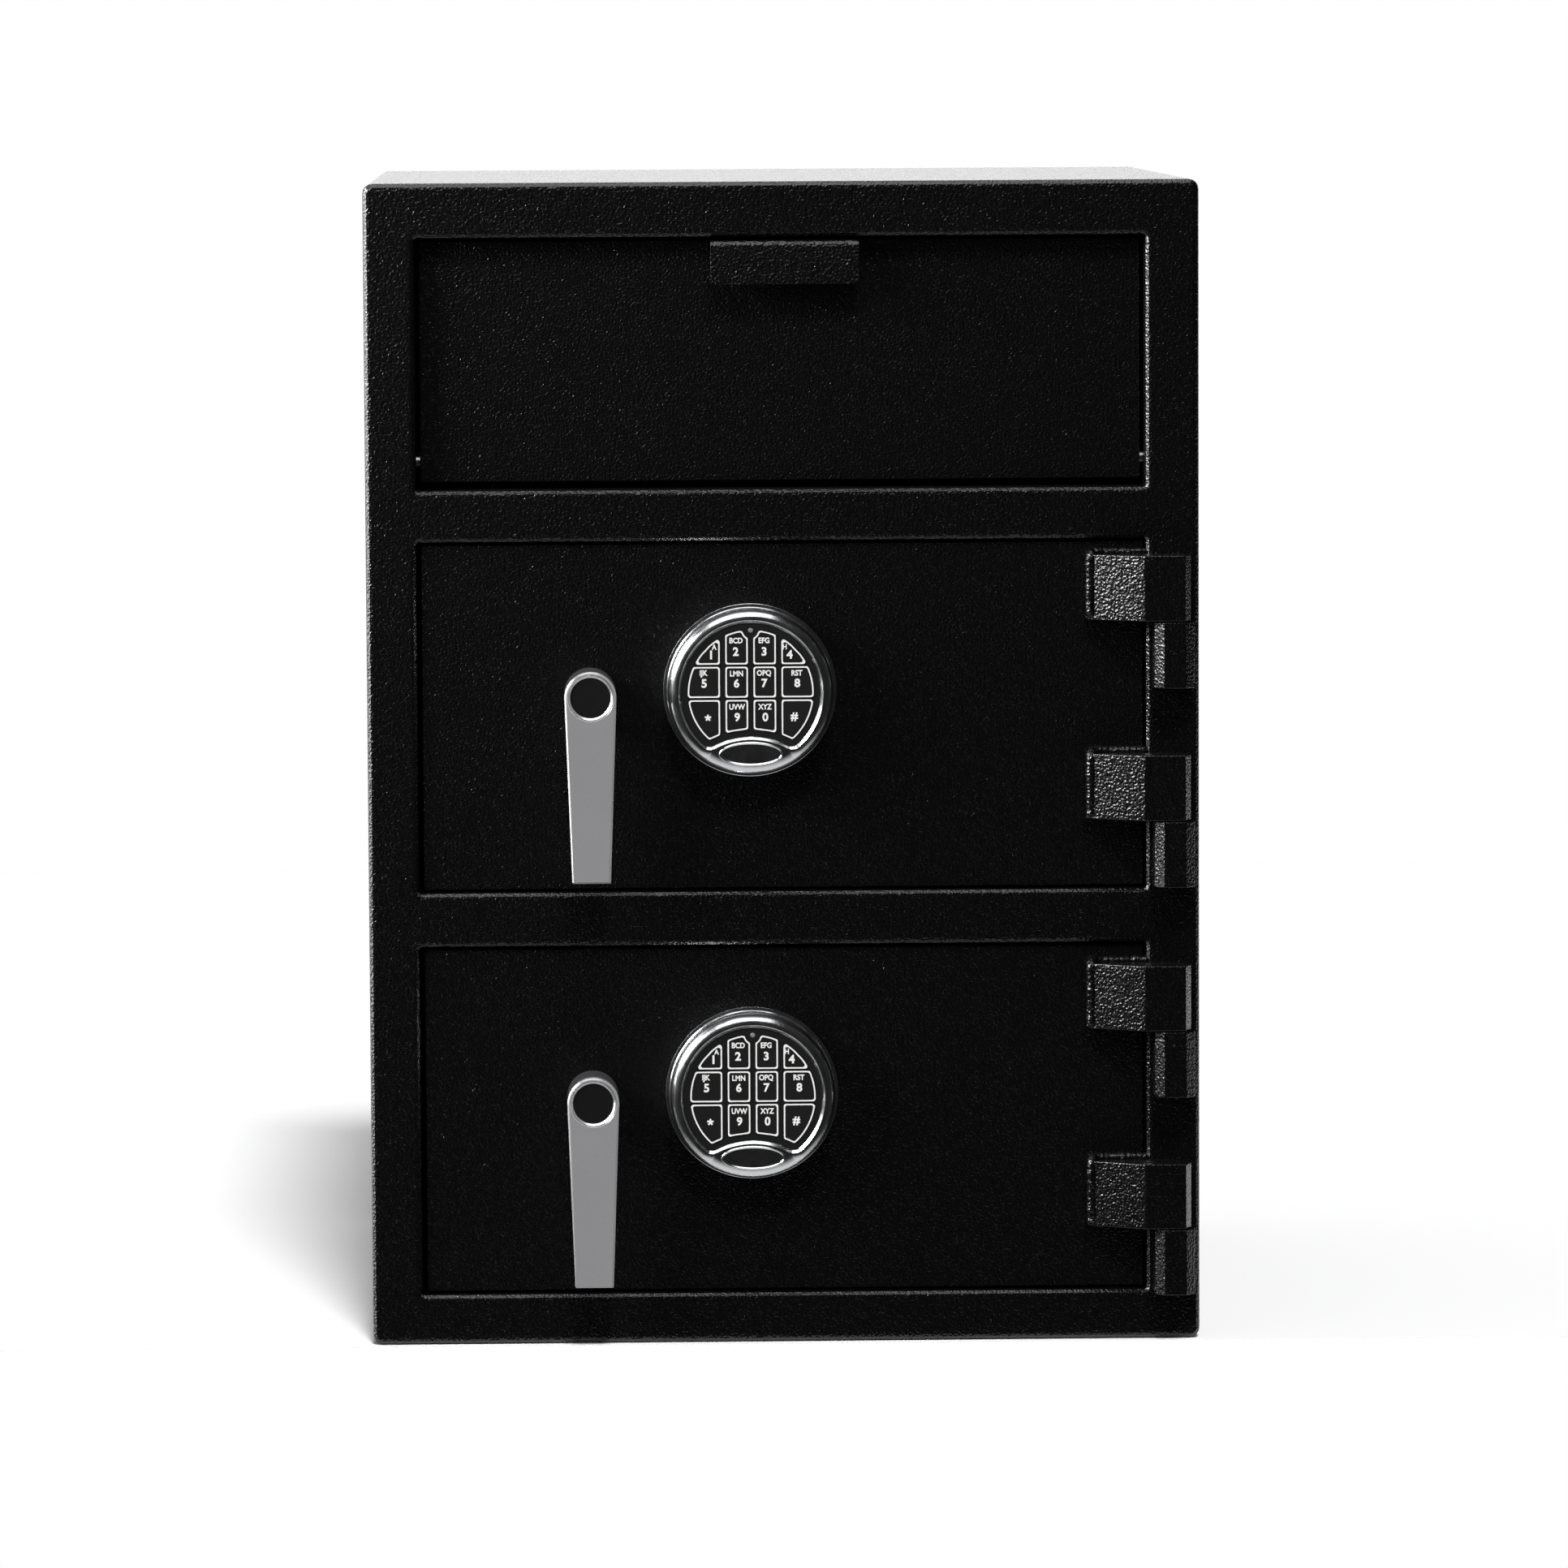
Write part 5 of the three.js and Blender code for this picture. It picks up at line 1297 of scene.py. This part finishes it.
class SAFE_OT_stage(bpy.types.Operator):
    """Sets up the white floor, the studio lamps, the world and the camera"""

    bl_idname = "safe.stage"
    bl_label = "Stage"

    def execute(self, context):
        self.floor()
        self.world(context.scene)
        for softbox in SOFTBOXES:
            self.softbox(*softbox)
        self.sun()
        self.camera(context.scene)
        context.scene.view_settings.view_transform = "Standard"
        return {"FINISHED"}

    def floor(self):
        """A white paper sweep, which keeps the safe's shadow."""
        (left, near), (right, far) = FLOOR_LOW, FLOOR_HIGH
        corners = [(left, near, 0), (right, near, 0), (right, far, 0), (left, far, 0)]
        mesh = bpy.data.meshes.new("floor")
        mesh.from_pydata(corners, [], [(0, 1, 2, 3)])
        made = bpy.data.materials.new("Paper, white sweep")
        made.use_nodes = True
        tree = made.node_tree
        tree.nodes.clear()
        paper = add(tree, "ShaderNodeBsdfDiffuse", {"Color": linear("#fafafa")})
        add(tree, "ShaderNodeOutputMaterial", {"Surface": paper.outputs[0]})
        mesh.materials.append(made)
        put("floor", mesh)

    def world(self, scene):
        """White all round for the camera. Gloss sees a dark room in front of the safe, a white one behind it
        and a pale floor, and the rest of the light is dim."""
        world = bpy.data.worlds.new("White studio")
        world.use_nodes = True
        tree = world.node_tree
        tree.nodes.clear()
        ray = add(tree, "ShaderNodeLightPath").outputs
        way = add(tree, "ShaderNodeTexCoord").outputs["Generated"]
        along = add(tree, "ShaderNodeSeparateXYZ", {"Vector": way}).outputs
        room = 0.0
        for axis, span, (low, high) in ROOM:
            room = worked(tree, spread(tree, along[axis], low, high, span), ("MAXIMUM", room))
        dim, gloss, white = (
            add(tree, "ShaderNodeBackground", {"Color": (1, 1, 1, 1), "Strength": strength}).outputs[0]
            for strength in (ROOM_DIFFUSE, room, 1.0))
        lit = add(tree, "ShaderNodeMixShader", {"Fac": ray["Is Glossy Ray"], 1: dim, 2: gloss})
        seen = worked(tree, ray["Is Camera Ray"], ("MAXIMUM", ray["Is Transmission Ray"]))
        shown = add(tree, "ShaderNodeMixShader", {"Fac": seen, 1: lit.outputs[0], 2: white})
        add(tree, "ShaderNodeOutputWorld", {"Surface": shown.outputs[0]})
        scene.world = world

    def softbox(self, name, place, target, width, height, radiance):
        """A softbox that points at a target, for gloss alone."""
        data = bpy.data.lights.new(name, "AREA")
        data.shape = "RECTANGLE"
        data.size = width
        data.size_y = height
        data.energy = radiance * math.pi * width * height
        lamp = self.lamp(data, Vector(target) - Vector(place))
        lamp.location = place
        lamp.visible_camera = False
        lamp.visible_diffuse = False

    def sun(self):
        """The key light, high in front of the safe and a little to its right. It casts the soft shadow on
        the floor behind the safe's left side, and gloss doesn't see it."""
        data = bpy.data.lights.new("Key", "SUN")
        data.energy = SUN_STRENGTH
        data.angle = SUN_SPREAD
        self.lamp(data, -Vector(SUN_TILT)).visible_glossy = False

    def lamp(self, data, way):
        """A lamp that shines along a way."""
        lamp = put(data.name, data)
        lamp.rotation_euler = way.to_track_quat("-Z", "Y").to_euler()
        return lamp

    def camera(self, scene):
        """The camera stands left of the middle, a little higher than the safe's top."""
        data = bpy.data.cameras.new("Camera")
        data.sensor_width = 36
        data.lens = CAMERA_LENS
        data.shift_x, data.shift_y = CAMERA_SHIFT
        camera = bpy.data.objects.new("Camera", data)
        camera.location = CAMERA_PLACE
        camera.rotation_euler = Euler([math.radians(turn) for turn in CAMERA_TURN])
        scene.collection.objects.link(camera)
        scene.camera = camera


class SAFE_PT_panel(bpy.types.Panel):
    """Lists the safe's sizes, colours and pieces"""

    bl_label = "Drop safe"
    bl_idname = "SAFE_PT_panel"
    bl_space_type = "VIEW_3D"
    bl_region_type = "UI"
    bl_category = "Safe"

    def draw(self, context):
        for group in (context.scene.safe_sizes, context.scene.safe_colours):
            for name in group.__annotations__:
                self.layout.prop(group, name)
        for operator in OPERATORS:
            self.layout.operator(operator.bl_idname)


OPERATORS = (
    SAFE_OT_cabinet, SAFE_OT_hopper, SAFE_OT_pull, SAFE_OT_doors, SAFE_OT_hinges, SAFE_OT_handles,
    SAFE_OT_boltwork, SAFE_OT_locks, SAFE_OT_keypads, SAFE_OT_keys, SAFE_OT_stage,
)
CLASSES = (SafeSizes, SafeColours, *OPERATORS, SAFE_PT_panel)


def register():
    """Adds the classes and the scene's properties."""
    for kind in CLASSES:
        bpy.utils.register_class(kind)
    bpy.types.Scene.safe_sizes = bpy.props.PointerProperty(type=SafeSizes)
    bpy.types.Scene.safe_colours = bpy.props.PointerProperty(type=SafeColours)


def unregister():
    """Takes them away again."""
    del bpy.types.Scene.safe_colours
    del bpy.types.Scene.safe_sizes
    for kind in reversed(CLASSES):
        bpy.utils.unregister_class(kind)


def main():
    """Builds every piece and the stage."""
    register()
    for operator in OPERATORS:
        group, name = operator.bl_idname.split(".")
        getattr(getattr(bpy.ops, group), name)()


if __name__ == "__main__":
    main()
